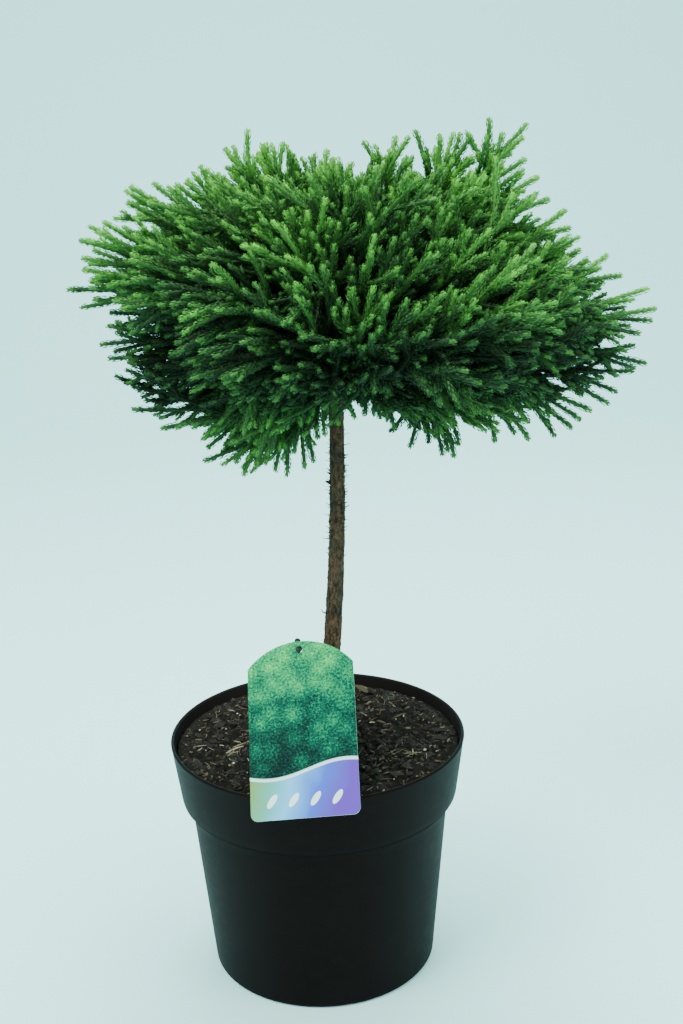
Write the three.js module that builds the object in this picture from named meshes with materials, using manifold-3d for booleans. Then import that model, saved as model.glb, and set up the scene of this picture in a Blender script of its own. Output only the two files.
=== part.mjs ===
// A dwarf Japanese cedar grown as a small standard: a bare stem in a round nursery pot, with a flattened
// crown of foliage masses that short boughs carry, and a plant label on its pin.
// Millimetres, +Z up. The origin is the middle of the pot's flat underside, and -Y is the front.
import * as THREE from "three";
import { mergeVertices } from "three/addons/utils/BufferGeometryUtils.js";
import Module from "manifold-3d";

// ---- Driving dimensions ----
const CLEARANCE = 0.35; // between pieces that touch

const POT_HEIGHT = 223;
const POT_RIM_RADIUS = 133.5;
const POT_COLLAR_FOOT_RADIUS = 126.5; // the collar's widest point above its lower edge
const POT_COLLAR_FOOT_HEIGHT = 171;
const POT_STEP_HEIGHT = 163.5; // where the collar's lower edge meets the body
const POT_STEP_RADIUS = 118;
const POT_BASE_RADIUS = 103.2;
const POT_BASE_ROUNDING = 4.5;
const POT_WALL = 2.4;
const POT_SEGMENTS = 32;
const DRAIN_COUNT = 8;
const DRAIN_RADIUS = 7;
const DRAIN_CIRCLE_RADIUS = 82;

const SOIL_LEVEL = 212;
const SOIL_UNEVENNESS = 3.5;
const SOIL_RINGS = 3;

const TRUNK_STAND = { radius: 17, height: SOIL_LEVEL + 3.4 }; // the flat of soil it stands on
const TRUNK_FOOT = new THREE.Vector3(5.5, 0, TRUNK_STAND.height + CLEARANCE);
const TRUNK_TIP = new THREE.Vector3(36, 2, 672);
const TRUNK_SWAY = { side: 5, depth: 2.2 }; // how far its line wanders from straight
const TRUNK_FLARE_RADIUS = 12.5;
const TRUNK_FOOT_RADIUS = 8.4;
const TRUNK_HEAD_RADIUS = 5.8;
const TRUNK_TIP_RADIUS = 2.4;
const TRUNK_FLARE_HEIGHT = 26;
const TRUNK_HEAD_HEIGHT = 530; // where the lowest bough leaves
const TRUNK_SIDES = 10;
const TRUNK_PIECES = 15; // along its length

const CROWN_MIDDLE = new THREE.Vector3(48, 4, 604);
const CROWN_REACH = { right: 249, left: 243, front: 224, back: 230 };
// The crown's top and underside as heights at shares of its reach: a flat head with sloping shoulders, and a
// shallow hollow below round the stem.
const CROWN_TOP = [[0, 745], [0.35, 758], [0.5, 750], [0.6, 734], [0.7, 711], [0.82, 686], [0.93, 655], [1, 615]];
const CROWN_UNDERSIDE = [[0, 550], [0.12, 524], [0.3, 472], [0.5, 480], [0.65, 501], [0.82, 538], [0.93, 571], [1, 615]];
const CROWN_TILT = 0.09; // it hangs lower on the right
const CROWN_FRONT_LIFT = 68; // its underside is higher in front, where the stem shows
const CORE_REACH = 40; // half-width of the bare middle round the stem
const CORE_RISE = 62;
const MASS_GAP = 5;
const MASS_SOFTNESS = 9; // higher keeps the masses' edges sharper
const MASS_DETAIL = 3;
const MASS_UNEVENNESS = 0.075;

// The rings of masses: how many, the first one's azimuth, and their middles' place as shares of the reach and
// of the crown's depth there. Their boughs leave the trunk at these heights in turn, so that neighbours stay apart.
const MASS_RINGS = [
  { name: "low", count: 6, firstDeg: -60, reach: 0.63, level: 0.22, boughs: [534, 547] },
  { name: "mid", count: 7, firstDeg: -90, reach: 0.66, level: 0.58, boughs: [580, 596, 611, 591, 606, 585, 601] },
  { name: "top", count: 4, firstDeg: -45, reach: 0.4, level: 0.82, boughs: [624, 636] },
];

const BOUGH_FOOT_RADIUS = 3.1;
const BOUGH_END_RADIUS = 2.0;
const BOUGH_SEAT_DEPTH = 14; // how far a bough reaches into its mass
const BOUGH_RISE = 9; // how far its middle bows upwards
const BOUGH_SIDES = 6;
const BOUGH_PIECES = 3;

const LABEL_WIDTH = 92;
const LABEL_SIDE = 131; // straight side, up to the arched head
const LABEL_ARCH = 22;
const LABEL_THICKNESS = 0.8;
const LABEL_CORNER = 6;
const LABEL_HOLE_RADIUS = 2.6;
const LABEL_HOLE_DROP = 8; // hole's middle below the arch's top
const LABEL_FOOT = new THREE.Vector3(-12.4, -142.5, 213.2); // middle of its lower edge
const LABEL_LEAN_DEG = 40; // back from upright
const LABEL_TURN_DEG = -11.7;
const LABEL_SPIN_DEG = 7.9; // in its own plane
const PIN_RADIUS = 1.7;
const PIN_KNOB_RADIUS = 2.8;
const PIN_BEHIND = 13; // how far behind the label the pin passes its hole
const PIN_ASIDE = 3; // and how far to the left of it
const PIN_ABOVE = 13; // from there up to the knob
const PIN_DEPTH = 45; // in the soil

const COLOURS = {
  pot: 0x1c2020,
  soil: 0x2d241c,
  bark: 0x6b4a33,
  foliage: 0x2f7a33,
  label: 0x59a86c,
  pin: 0x161818,
};

// ---- Solids ----
const wasm = await Module();
wasm.setup();

const material = (colour, roughness) => new THREE.MeshStandardMaterial({ color: colour, roughness, metalness: 0 });
const MATERIALS = {
  pot: material(COLOURS.pot, 0.55),
  soil: material(COLOURS.soil, 1.0),
  bark: material(COLOURS.bark, 0.9),
  foliage: material(COLOURS.foliage, 0.6),
  label: material(COLOURS.label, 0.35),
  pin: material(COLOURS.pin, 0.5),
};

// A closed geometry as a manifold-3d solid.
function solidOf(geometry) {
  const bare = geometry.clone();
  bare.deleteAttribute("normal");
  bare.deleteAttribute("uv");
  const merged = mergeVertices(bare, 1e-3);
  return new wasm.Manifold(
    new wasm.Mesh({
      numProp: 3,
      vertProperties: new Float32Array(merged.attributes.position.array),
      triVerts: new Uint32Array(merged.index.array),
    }),
  );
}

// A manifold-3d solid as a geometry.
function geometryOf(solid) {
  const mesh = solid.getMesh();
  const geometry = new THREE.BufferGeometry();
  geometry.setAttribute("position", new THREE.BufferAttribute(new Float32Array(mesh.vertProperties), 3));
  geometry.setIndex(new THREE.BufferAttribute(new Uint32Array(mesh.triVerts), 1));
  geometry.computeVertexNormals();
  return geometry;
}

// Each vertex of a geometry goes where place(vertex) puts it.
function reshaped(geometry, place) {
  const position = geometry.attributes.position;
  const vertex = new THREE.Vector3();
  for (let i = 0; i < position.count; i += 1) {
    vertex.fromBufferAttribute(position, i);
    place(vertex);
    position.setXYZ(i, vertex.x, vertex.y, vertex.z);
  }
  return geometry;
}

// A tapering limb: a cylinder whose rings are carried along a curve, with radiusAt(t) at each share t of its length.
function limb(curve, radiusAt, sides, rings) {
  const frames = curve.computeFrenetFrames(rings, false);
  const cylinder = new THREE.CylinderGeometry(1, 1, 1, sides, rings);
  return reshaped(cylinder, (v) => {
    const t = v.y + 0.5;
    const k = Math.round(t * rings);
    const centre = curve.getPointAt(Math.min(1, Math.max(0, t)));
    const radius = radiusAt(t);
    const across = v.x;
    const along = v.z;
    v.copy(centre)
      .addScaledVector(frames.normals[k], along * radius)
      .addScaledVector(frames.binormals[k], across * radius);
  });
}

const mix = (a, b, t) => a + (b - a) * t;
const smooth = (t) => t * t * (3 - 2 * t);
const clamp01 = (t) => Math.min(1, Math.max(0, t));

// ---- Pot ----
// The wall's outer line, from the middle of the base up to the rim.
function potOuterLine() {
  return [
    [0, 0],
    [POT_BASE_RADIUS - POT_BASE_ROUNDING, 0],
    [POT_BASE_RADIUS - POT_BASE_ROUNDING * 0.3, POT_BASE_ROUNDING * 0.3],
    [POT_BASE_RADIUS, POT_BASE_ROUNDING],
    [POT_STEP_RADIUS, POT_STEP_HEIGHT],
    [POT_STEP_RADIUS + 4.2, POT_STEP_HEIGHT + 1.6],
    [POT_COLLAR_FOOT_RADIUS, POT_COLLAR_FOOT_HEIGHT],
    [POT_RIM_RADIUS, POT_HEIGHT - 2.5],
    [POT_RIM_RADIUS - 1, POT_HEIGHT],
  ];
}

// The wall's inner line, from the rim down to the middle of the floor.
function potInnerLine() {
  return [
    [POT_RIM_RADIUS - POT_WALL - 0.8, POT_HEIGHT - 1],
    [POT_COLLAR_FOOT_RADIUS - POT_WALL, POT_COLLAR_FOOT_HEIGHT],
    [POT_STEP_RADIUS - POT_WALL, POT_STEP_HEIGHT - 1],
    [POT_BASE_RADIUS - POT_WALL, POT_BASE_ROUNDING + 1],
    [POT_BASE_RADIUS - POT_BASE_ROUNDING, POT_WALL],
    [0, POT_WALL],
  ];
}

// A turned solid from a line of [radius, height] pairs, standing along +Z.
function turned(line) {
  const points = line.map(([radius, height]) => new THREE.Vector2(radius, height));
  return new THREE.LatheGeometry(points, POT_SEGMENTS).rotateX(Math.PI / 2);
}

function potGeometry() {
  const shell = solidOf(turned([...potOuterLine(), ...potInnerLine()]));
  let drained = shell;
  for (let i = 0; i < DRAIN_COUNT; i += 1) {
    const angle = ((i + 0.5) * 2 * Math.PI) / DRAIN_COUNT;
    const drill = new THREE.CylinderGeometry(DRAIN_RADIUS, DRAIN_RADIUS, 8 * POT_WALL, 8)
      .rotateX(Math.PI / 2)
      .translate(DRAIN_CIRCLE_RADIUS * Math.cos(angle), DRAIN_CIRCLE_RADIUS * Math.sin(angle), 0);
    drained = drained.subtract(solidOf(drill));
  }
  return geometryOf(drained);
}

// ---- Soil ----
// How far the soil stands above or below its level at a place.
function soilHeap(x, y) {
  const waves = Math.sin(x / 23 + 1.3) * Math.cos(y / 19 - 0.4) + 0.5 * Math.sin(x / 9 - y / 11);
  return (SOIL_UNEVENNESS * waves) / 1.5;
}

function soilSolid() {
  const inner = potInnerLine().slice(1, -1).reverse();
  const wall = inner.map(([radius, height]) => [radius - CLEARANCE, height]);
  wall[0][1] += CLEARANCE;
  // where the soil's edge meets the collar's sloping inner wall
  const slope = (POT_RIM_RADIUS - 0.8 - POT_COLLAR_FOOT_RADIUS) / (POT_HEIGHT - 1 - POT_COLLAR_FOOT_HEIGHT);
  const edgeRadius =
    POT_COLLAR_FOOT_RADIUS - POT_WALL + slope * (SOIL_LEVEL - POT_COLLAR_FOOT_HEIGHT) - 2 * CLEARANCE;
  const top = [];
  for (let ring = 0; ring <= SOIL_RINGS; ring += 1) {
    top.push([edgeRadius * (1 - ring / SOIL_RINGS), SOIL_LEVEL]);
  }
  const heaped = reshaped(turned([[0, POT_WALL + CLEARANCE], ...wall, ...top]), (v) => {
    const inside = clamp01((edgeRadius - Math.hypot(v.x, v.y)) / 12);
    if (v.z > SOIL_LEVEL - 0.01) v.z += inside * soilHeap(v.x, v.y);
  });
  const disc = (from, to) =>
    solidOf(
      new THREE.CylinderGeometry(TRUNK_STAND.radius, TRUNK_STAND.radius, to - from, 10)
        .rotateX(Math.PI / 2)
        .translate(TRUNK_FOOT.x, TRUNK_FOOT.y, (from + to) / 2),
    );
  const stand = disc(TRUNK_STAND.height - 12, TRUNK_STAND.height);
  const clear = disc(TRUNK_STAND.height, TRUNK_STAND.height + 12);
  return solidOf(heaped).add(stand).subtract(clear);
}

// ---- Trunk ----
function trunkCurve() {
  const points = [];
  const steps = 6;
  for (let i = 0; i <= steps; i += 1) {
    const t = i / steps;
    const point = TRUNK_FOOT.clone().lerp(TRUNK_TIP, t);
    point.x += TRUNK_SWAY.side * Math.sin(1.5 * Math.PI * t);
    point.y += TRUNK_SWAY.depth * (Math.sin(1.6 * Math.PI * t + 0.5) - Math.sin(0.5));
    points.push(point);
  }
  return new THREE.CatmullRomCurve3(points);
}
const TRUNK_CURVE = trunkCurve();
const TRUNK_LENGTH = TRUNK_CURVE.getLength();

function trunkRadius(t) {
  const height = t * TRUNK_LENGTH;
  const head = (TRUNK_HEAD_HEIGHT - TRUNK_FOOT.z) / TRUNK_LENGTH;
  const flare = (TRUNK_FLARE_RADIUS - TRUNK_FOOT_RADIUS) * smooth(clamp01(1 - height / TRUNK_FLARE_HEIGHT));
  if (t < head) return mix(TRUNK_FOOT_RADIUS, TRUNK_HEAD_RADIUS, t / head) + flare;
  return mix(TRUNK_HEAD_RADIUS, TRUNK_TIP_RADIUS, (t - head) / (1 - head));
}

// The trunk's middle at a height.
function trunkMiddle(height) {
  return TRUNK_CURVE.getPointAt(clamp01((height - TRUNK_FOOT.z) / (TRUNK_TIP.z - TRUNK_FOOT.z)));
}

// The foot's cut is level, whatever the stem's lean.
function trunkGeometry() {
  const geometry = limb(TRUNK_CURVE, trunkRadius, TRUNK_SIDES, TRUNK_PIECES);
  return reshaped(geometry, (v) => {
    if (v.z < TRUNK_FOOT.z + 4) v.z = TRUNK_FOOT.z;
  });
}

// ---- Crown ----
// A height read off a line of [share, height] pairs.
function readLine(line, share) {
  let i = 1;
  while (i < line.length - 1 && line[i][0] < share) i += 1;
  const [from, to] = [line[i - 1], line[i]];
  return mix(from[1], to[1], clamp01((share - from[0]) / (to[0] - from[0])));
}

// Where a place seen from above lies in the crown: its share of the reach there, and the crown's top and underside.
function crownAt(x, y) {
  const dx = x - CROWN_MIDDLE.x;
  const dy = y - CROWN_MIDDLE.y;
  const azimuth = Math.atan2(dy, dx);
  const side = dx > 0 ? CROWN_REACH.right : CROWN_REACH.left;
  const face = dy > 0 ? CROWN_REACH.back : CROWN_REACH.front;
  const lobes = 1 + 0.03 * Math.sin(5 * azimuth + 0.6) + 0.02 * Math.sin(9 * azimuth - 1.1);
  const share = Math.hypot(dx / side, dy / face) / lobes;
  const front = dy < 0 ? Math.sin(azimuth) ** 6 * smooth(clamp01(share * 3)) * (1 - share ** 3) : 0;
  const tilt = CROWN_TILT * dx * share ** 2;
  const top = readLine(CROWN_TOP, share) - tilt;
  const underside = readLine(CROWN_UNDERSIDE, share) - tilt + CROWN_FRONT_LIFT * Math.max(0, front);
  return { share, top, underside };
}

function insideCrown(point) {
  const { share, top, underside } = crownAt(point.x, point.y);
  return share < 1 && point.z < top && point.z > underside;
}

// How far a ray from a point inside the crown runs before it leaves the outline.
function outlineReach(from, direction) {
  const point = new THREE.Vector3();
  const reaches = (distance) => insideCrown(point.copy(from).addScaledVector(direction, distance));
  let low = 0;
  while (low < 700 && reaches(low + 8)) low += 8;
  let high = low + 8;
  for (let i = 0; i < 10; i += 1) {
    const middle = (low + high) / 2;
    if (reaches(middle)) low = middle;
    else high = middle;
  }
  return low;
}

// How far a ray runs before it meets the bare middle round the stem, or Infinity.
function coreReach(from, direction) {
  const middle = trunkMiddle(CROWN_MIDDLE.z - 10);
  const scale = new THREE.Vector3(1 / CORE_REACH, 1 / CORE_REACH, 1 / CORE_RISE);
  const o = from.clone().sub(middle).multiply(scale);
  const d = direction.clone().multiply(scale);
  const a = d.dot(d);
  const b = o.dot(d);
  const c = o.dot(o) - 1;
  const root = b * b - a * c;
  return root < 0 || b > 0 ? Infinity : (-b - Math.sqrt(root)) / a;
}

// The middles of all the masses, ring by ring.
function massMiddles() {
  const middles = [];
  for (const ring of MASS_RINGS) {
    for (let i = 0; i < ring.count; i += 1) {
      const azimuth = THREE.MathUtils.degToRad(ring.firstDeg + (360 * i) / ring.count);
      const point = CROWN_MIDDLE.clone();
      point.x += Math.cos(azimuth) * ring.reach * (Math.cos(azimuth) > 0 ? CROWN_REACH.right : CROWN_REACH.left);
      point.y += Math.sin(azimuth) * ring.reach * (Math.sin(azimuth) > 0 ? CROWN_REACH.back : CROWN_REACH.front);
      const { top, underside } = crownAt(point.x, point.y);
      point.z = mix(underside, top, ring.level);
      middles.push({ name: `${ring.name}_${i + 1}`, point, boughHeight: ring.boughs[i % ring.boughs.length] });
    }
  }
  return middles;
}

// How far mass number `index` reaches from its middle in a direction. Each mass keeps to its own side of the plane
// half way to each neighbour, inside the crown's outline and outside the bare core, and a soft minimum of those
// limits rounds its edges.
function massReach(middles, index, direction) {
  const { point } = middles[index];
  const limits = [outlineReach(point, direction), coreReach(point, direction)];
  middles.forEach((other, j) => {
    if (j === index) return;
    const apart = other.point.clone().sub(point);
    const distance = apart.length();
    const facing = apart.dot(direction) / distance;
    if (facing > 0.02) limits.push((distance / 2 - MASS_GAP / 2) / facing);
  });
  const sum = limits.reduce((total, limit) => total + limit ** -MASS_SOFTNESS, 0);
  const reach = sum ** (-1 / MASS_SOFTNESS);
  const bumps =
    Math.sin(7.1 * direction.x + 1.7 * index) * Math.cos(6.3 * direction.y - index) +
    Math.sin(8.7 * direction.z + 5.1 * direction.x + 2.3 * index);
  return reach * (1 - (MASS_UNEVENNESS * (2 - bumps)) / 4);
}

function massGeometry(middles, index) {
  const { point } = middles[index];
  return reshaped(new THREE.IcosahedronGeometry(1, MASS_DETAIL), (v) => {
    const direction = v.clone().normalize();
    v.copy(point).addScaledVector(direction, massReach(middles, index, direction));
  });
}

// ---- Boughs ----
// A bough leaves the trunk at its own height and ends inside its mass. `swell` widens and lengthens it to cut its
// seat.
function boughGeometry(middles, index, swell) {
  const { point, boughHeight } = middles[index];
  const foot = trunkMiddle(boughHeight);
  const inwards = foot.clone().sub(point).normalize();
  const end = point.clone().addScaledVector(inwards, massReach(middles, index, inwards) - BOUGH_SEAT_DEPTH - swell);
  const middle = foot.clone().lerp(end, 0.5);
  middle.z += BOUGH_RISE;
  const curve = new THREE.CatmullRomCurve3([foot, middle, end]);
  return limb(curve, (t) => mix(BOUGH_FOOT_RADIUS, BOUGH_END_RADIUS, t) + swell, BOUGH_SIDES, BOUGH_PIECES);
}

// ---- Label ----
// The label's outline in its own plane, with the middle of its lower edge at the origin.
function labelShape() {
  const half = LABEL_WIDTH / 2;
  const shape = new THREE.Shape();
  const archRadius = (half * half + LABEL_ARCH * LABEL_ARCH) / (2 * LABEL_ARCH);
  const archAngle = Math.asin(half / archRadius);
  const top = LABEL_SIDE + LABEL_ARCH;
  shape.moveTo(-half + LABEL_CORNER, 0);
  shape.lineTo(half - LABEL_CORNER, 0);
  shape.absarc(half - LABEL_CORNER, LABEL_CORNER, LABEL_CORNER, -Math.PI / 2, 0, false);
  shape.lineTo(half, LABEL_SIDE);
  shape.absarc(0, top - archRadius, archRadius, Math.PI / 2 - archAngle, Math.PI / 2 + archAngle, false);
  shape.lineTo(-half, LABEL_CORNER);
  shape.absarc(-half + LABEL_CORNER, LABEL_CORNER, LABEL_CORNER, Math.PI, 1.5 * Math.PI, false);
  const hole = new THREE.Path();
  hole.absarc(0, top - LABEL_HOLE_DROP, LABEL_HOLE_RADIUS, 0, 2 * Math.PI, true);
  shape.holes.push(hole);
  return shape;
}

// From the label's own plane (x across, y up it, z out of its printed face) to the part's frame.
function labelPlacing() {
  return new THREE.Matrix4()
    .makeTranslation(LABEL_FOOT.x, LABEL_FOOT.y, LABEL_FOOT.z)
    .multiply(new THREE.Matrix4().makeRotationZ(THREE.MathUtils.degToRad(LABEL_TURN_DEG)))
    .multiply(new THREE.Matrix4().makeRotationX(Math.PI / 2 - THREE.MathUtils.degToRad(LABEL_LEAN_DEG)))
    .multiply(new THREE.Matrix4().makeRotationZ(THREE.MathUtils.degToRad(LABEL_SPIN_DEG)));
}

function labelGeometry() {
  return new THREE.ExtrudeGeometry(labelShape(), {
    depth: LABEL_THICKNESS,
    bevelEnabled: false,
    curveSegments: 4,
  })
    .translate(0, 0, -LABEL_THICKNESS)
    .applyMatrix4(labelPlacing());
}

// The pin stands in the soil behind the label and ends in a knob above it. A peg from it runs through the label's
// hole to a second knob in front. `swell` widens it to cut its seat in the soil.
function pinSolid(swell) {
  const placing = labelPlacing();
  const holeHeight = LABEL_SIDE + LABEL_ARCH - LABEL_HOLE_DROP;
  const behindHole = new THREE.Vector3(-PIN_ASIDE, holeHeight, -PIN_BEHIND).applyMatrix4(placing);
  const front = new THREE.Vector3(0, holeHeight, PIN_KNOB_RADIUS * 0.8).applyMatrix4(placing);
  const foot = new THREE.Vector3(behindHole.x + 6, behindHole.y + 8, SOIL_LEVEL - PIN_DEPTH - swell);
  const upwards = behindHole.clone().sub(foot).normalize();
  const knob = behindHole.clone().addScaledVector(upwards, PIN_ABOVE);
  const bar = (from, to) => limb(new THREE.LineCurve3(from, to), () => PIN_RADIUS + swell, 6, 1);
  const ball = (at) => new THREE.SphereGeometry(PIN_KNOB_RADIUS, 8, 5).translate(at.x, at.y, at.z);
  const frontKnob = ball(new THREE.Vector3());
  frontKnob.scale(1, 1, 0.45).applyMatrix4(new THREE.Matrix4().extractRotation(placing));
  frontKnob.translate(front.x, front.y, front.z);
  const pieces = [bar(foot, knob), bar(behindHole, front), ball(knob), frontKnob];
  return pieces.map(solidOf).reduce((whole, piece) => whole.add(piece));
}

// ---- The whole plant ----
const group = new THREE.Group();

function addNode(name, geometry, ownMaterial) {
  const mesh = new THREE.Mesh(geometry, ownMaterial);
  mesh.name = name;
  group.add(mesh);
}

addNode("pot", potGeometry(), MATERIALS.pot);

addNode("soil", geometryOf(soilSolid().subtract(pinSolid(CLEARANCE))), MATERIALS.soil);
addNode("label", labelGeometry(), MATERIALS.label);
addNode("label_pin", geometryOf(pinSolid(0)), MATERIALS.pin);
addNode("trunk", trunkGeometry(), MATERIALS.bark);

const MIDDLES = massMiddles();
const trunkSeat = solidOf(limb(TRUNK_CURVE, (t) => trunkRadius(t) + CLEARANCE, TRUNK_SIDES, TRUNK_PIECES));
MIDDLES.forEach((mass, index) => {
  const seat = solidOf(boughGeometry(MIDDLES, index, CLEARANCE));
  const body = solidOf(massGeometry(MIDDLES, index)).subtract(seat).subtract(trunkSeat);
  addNode(`foliage_${mass.name}`, geometryOf(body), MATERIALS.foliage);
  const bough = solidOf(boughGeometry(MIDDLES, index, 0)).subtract(trunkSeat);
  addNode(`bough_${mass.name}`, geometryOf(bough), MATERIALS.bark);
});

export default group;
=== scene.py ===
"""A dwarf Japanese cedar grown as a small standard in a nursery pot.

Each operator makes one piece of the plant, or one group of like pieces: the pot, its soil, the bark of stem
and boughs, the twigs and needles of the crown, the plant label and its pin. One more sets up the floor, the
lights and the camera. Sizes are metres; the pot stands on z = 0 and the label hangs towards -Y.
"""

import math

import bpy
import numpy as np
from bpy.props import FloatProperty, FloatVectorProperty, IntProperty, PointerProperty
from mathutils import Matrix


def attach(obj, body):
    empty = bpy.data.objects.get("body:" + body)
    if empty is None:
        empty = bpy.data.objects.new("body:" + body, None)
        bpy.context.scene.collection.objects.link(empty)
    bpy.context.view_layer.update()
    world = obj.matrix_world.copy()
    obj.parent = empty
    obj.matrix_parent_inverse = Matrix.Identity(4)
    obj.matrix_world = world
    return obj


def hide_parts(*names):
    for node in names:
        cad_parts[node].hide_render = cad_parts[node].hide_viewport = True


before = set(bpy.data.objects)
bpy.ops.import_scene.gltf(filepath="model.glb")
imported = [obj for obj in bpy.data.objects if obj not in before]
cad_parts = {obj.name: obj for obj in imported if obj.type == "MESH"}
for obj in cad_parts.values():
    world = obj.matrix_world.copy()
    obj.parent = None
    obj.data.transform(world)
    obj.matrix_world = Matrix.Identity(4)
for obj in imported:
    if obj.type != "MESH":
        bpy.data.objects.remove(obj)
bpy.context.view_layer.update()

bl_info = {
    "name": "Potted Cedar Standard",
    "version": (1, 0, 0),
    "blender": (4, 5, 0),
    "location": "View3D > Sidebar > Cedar",
    "description": "Makes a small Japanese cedar standard in its nursery pot",
    "category": "Add Mesh",
}

GOLDEN_ANGLE = math.pi * (3 - math.sqrt(5))
SOIL_SEED, STUB_SEED = 21, 31

# The pot's sides, the height of the step under its collar, the rounds of its foot and lip, and its holes.
POT_SIDES = 160
STEP_HEIGHT = 0.1655
FOOT_CORNER = 0.0045
LIP_ROUND = 0.0016
HOLES, HOLE_RING, HOLE_RADIUS = 8, 0.082, 0.007

# The stem's ends and its sway along x and y; its radius above the flare, at the height of its head and at its
# tip; how much wider the flare is at the foot, and how far up it runs; and the rings and sides of its mesh.
STEM_FOOT = np.array([0.0055, 0.0, 0.21575])
STEM_TIP = np.array([0.036, 0.002, 0.672])
STEM_SWAY = (0.005, 0.0022)
STEM_HEAD = 0.530
STEM_GIRTH = (0.0084, 0.0058, 0.0024)
STEM_FLARE, FLARE_RUN = 0.0041, 0.026
STEM_RINGS, STEM_SIDES = 560, 84

# A bough's radius at its foot and its end, how much wider its collar is, and its mesh's stations and sides.
BOUGH_GIRTH, BOUGH_COLLAR = (0.0033, 0.0018), 0.0016
BOUGH_STATIONS, BOUGH_SIDES = 44, 18

# The crown's middle and reach, and its top and underside as heights at shares of the reach.
CROWN_MIDDLE = np.array([0.048, 0.004, 0.604])
CROWN_REACH = {"right": 0.249, "left": 0.243, "front": 0.224, "back": 0.230}
CROWN_TOP = (
    (0, 0.35, 0.5, 0.6, 0.7, 0.82, 0.93, 1),
    (0.745, 0.758, 0.750, 0.734, 0.711, 0.686, 0.655, 0.615),
)
CROWN_UNDERSIDE = (
    (0, 0.12, 0.3, 0.5, 0.65, 0.82, 0.93, 1),
    (0.550, 0.524, 0.472, 0.480, 0.501, 0.538, 0.571, 0.615),
)
CROWN_TILT = 0.09
CROWN_FRONT_LIFT = 0.068

# The height on the stem from which the sprays spread.
CROWN_HEART = 0.578

# The point in front of the plant from which the crown's outline was laid out, and where the camera stands.
FRONT_POINT = np.array([0.0, -1.247, 0.824])

# The rings of foliage masses: name, count, first azimuth in degrees, shares of reach and depth, and the
# heights of their boughs.
MASS_RINGS = (
    ("low", 6, -60, 0.63, 0.22, (0.534, 0.547)),
    ("mid", 7, -90, 0.66, 0.58, (0.580, 0.596, 0.611, 0.591, 0.606, 0.585, 0.601)),
    ("top", 4, -45, 0.4, 0.82, (0.624, 0.636)),
)

# The kinds of main axes in the crown, the seeds of their sway and of the hollows between them, the number of
# sprigs beside each leading one, the number of places that the other two kinds are chosen from, and the most
# limbs that leave a bough.
LEADING, SURFACE, INNER = range(3)
SWAY_SEEDS, HOLLOW_SEED = (40, 41, 42), 51
FRINGE = 3
SURFACE_PLACES, INNER_PLACES = 30000, 12000
LIMBS = 6

# The radii of a limb's foot, a twig's foot, a spray's foot and the end of a spray's brown part.
TWIG_GIRTH = (0.0019, 0.0012, 0.0009, 0.0007)

# The side shoots of the close, finger-like left half and of the longer, feathered right half: their spacing,
# growth with the distance from the tip, opening and closing angles in degrees, and flatness.
SIDE_SHOOTS = ((0.0158, 0.72, 46, 12, 0.9), (0.0138, 0.62, 48, 20, 0.65))

# A green shoot's radius, how far from its middle a needle starts, the longest run that needles cover, and the
# angles in degrees at which a needle leaves its shoot and ends, at the bud and on the grown shoot.
SHOOT_RADIUS = 0.0019
NEEDLE_SEAT = 0.0015
COVERED_RUN = 0.088
NEEDLE_SPREAD, NEEDLE_CLOSE = (14, 42), (-30, 4)

# The label's own plane: the middle of its lower edge, and its lean, turn and spin.
LABEL_FOOT = (-0.0124, -0.1425, 0.2132)
LABEL_LEAN, LABEL_TURN, LABEL_SPIN = math.radians(40), math.radians(-11.7), math.radians(7.9)

# The rounds of the label's corners, its hole's radius and drop below the crest, and the radii of the pin's
# stem, peg and knobs.
CARD_CORNER, CARD_HOLE, HOLE_DROP = 0.006, 0.0026, 0.008
PIN_RADIUS, PEG_RADIUS, KNOB_RADIUS = 0.0017, 0.0016, 0.0028


# ---------------------------------------------------------------- arrays and meshes


def mix(a, b, t):
    """a where t is 0, b where t is 1, and in proportion between."""
    return a + (b - a) * t


def smooth(t):
    """0 below 0, 1 above 1, and 3t^2 - 2t^3 between."""
    t = np.clip(t, 0.0, 1.0)
    return t * t * (3 - 2 * t)


def ease(x, start, run):
    """smooth from 0 at start to 1 at start + run; a run below 0 grows the other way."""
    return smooth((x - start) / run)


def bell(x, middle, width):
    """1 at the middle, and e^-(distance / width)^2 to both sides."""
    return np.exp(-(((x - middle) / width) ** 2))


def unit(vectors):
    """The vectors divided by their lengths."""
    return vectors / np.maximum(np.linalg.norm(vectors, axis=-1, keepdims=True), 1e-12)


def random_turns(rng, n):
    """n seeded angles of a full turn."""
    return rng.random(n) * 2 * math.pi


def even_turns(n):
    """n even steps of a full turn."""
    return np.arange(n) * 2 * math.pi / n


def circle(angle):
    """The (x, y) points of the unit circle at given angles."""
    return np.stack([np.cos(angle), np.sin(angle)], axis=-1)


def raised(flat, height):
    """(x, y) points with their heights."""
    return np.concatenate([flat, np.broadcast_to(height, flat.shape[:-1])[..., None]], axis=-1)


def ripple(points, scale, seed, waves=7):
    """Smooth noise from -1 to 1: the mean of sine waves in seeded directions, some of them twice as fine."""
    rng = np.random.default_rng(seed)
    directions = unit(rng.normal(size=(waves, 3)))
    pitch = (1 + rng.random(waves)) * 2 * math.pi / scale
    phase = random_turns(rng, waves)
    return np.sin(points @ (directions.T * pitch) + phase).mean(axis=-1) * 1.6


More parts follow.
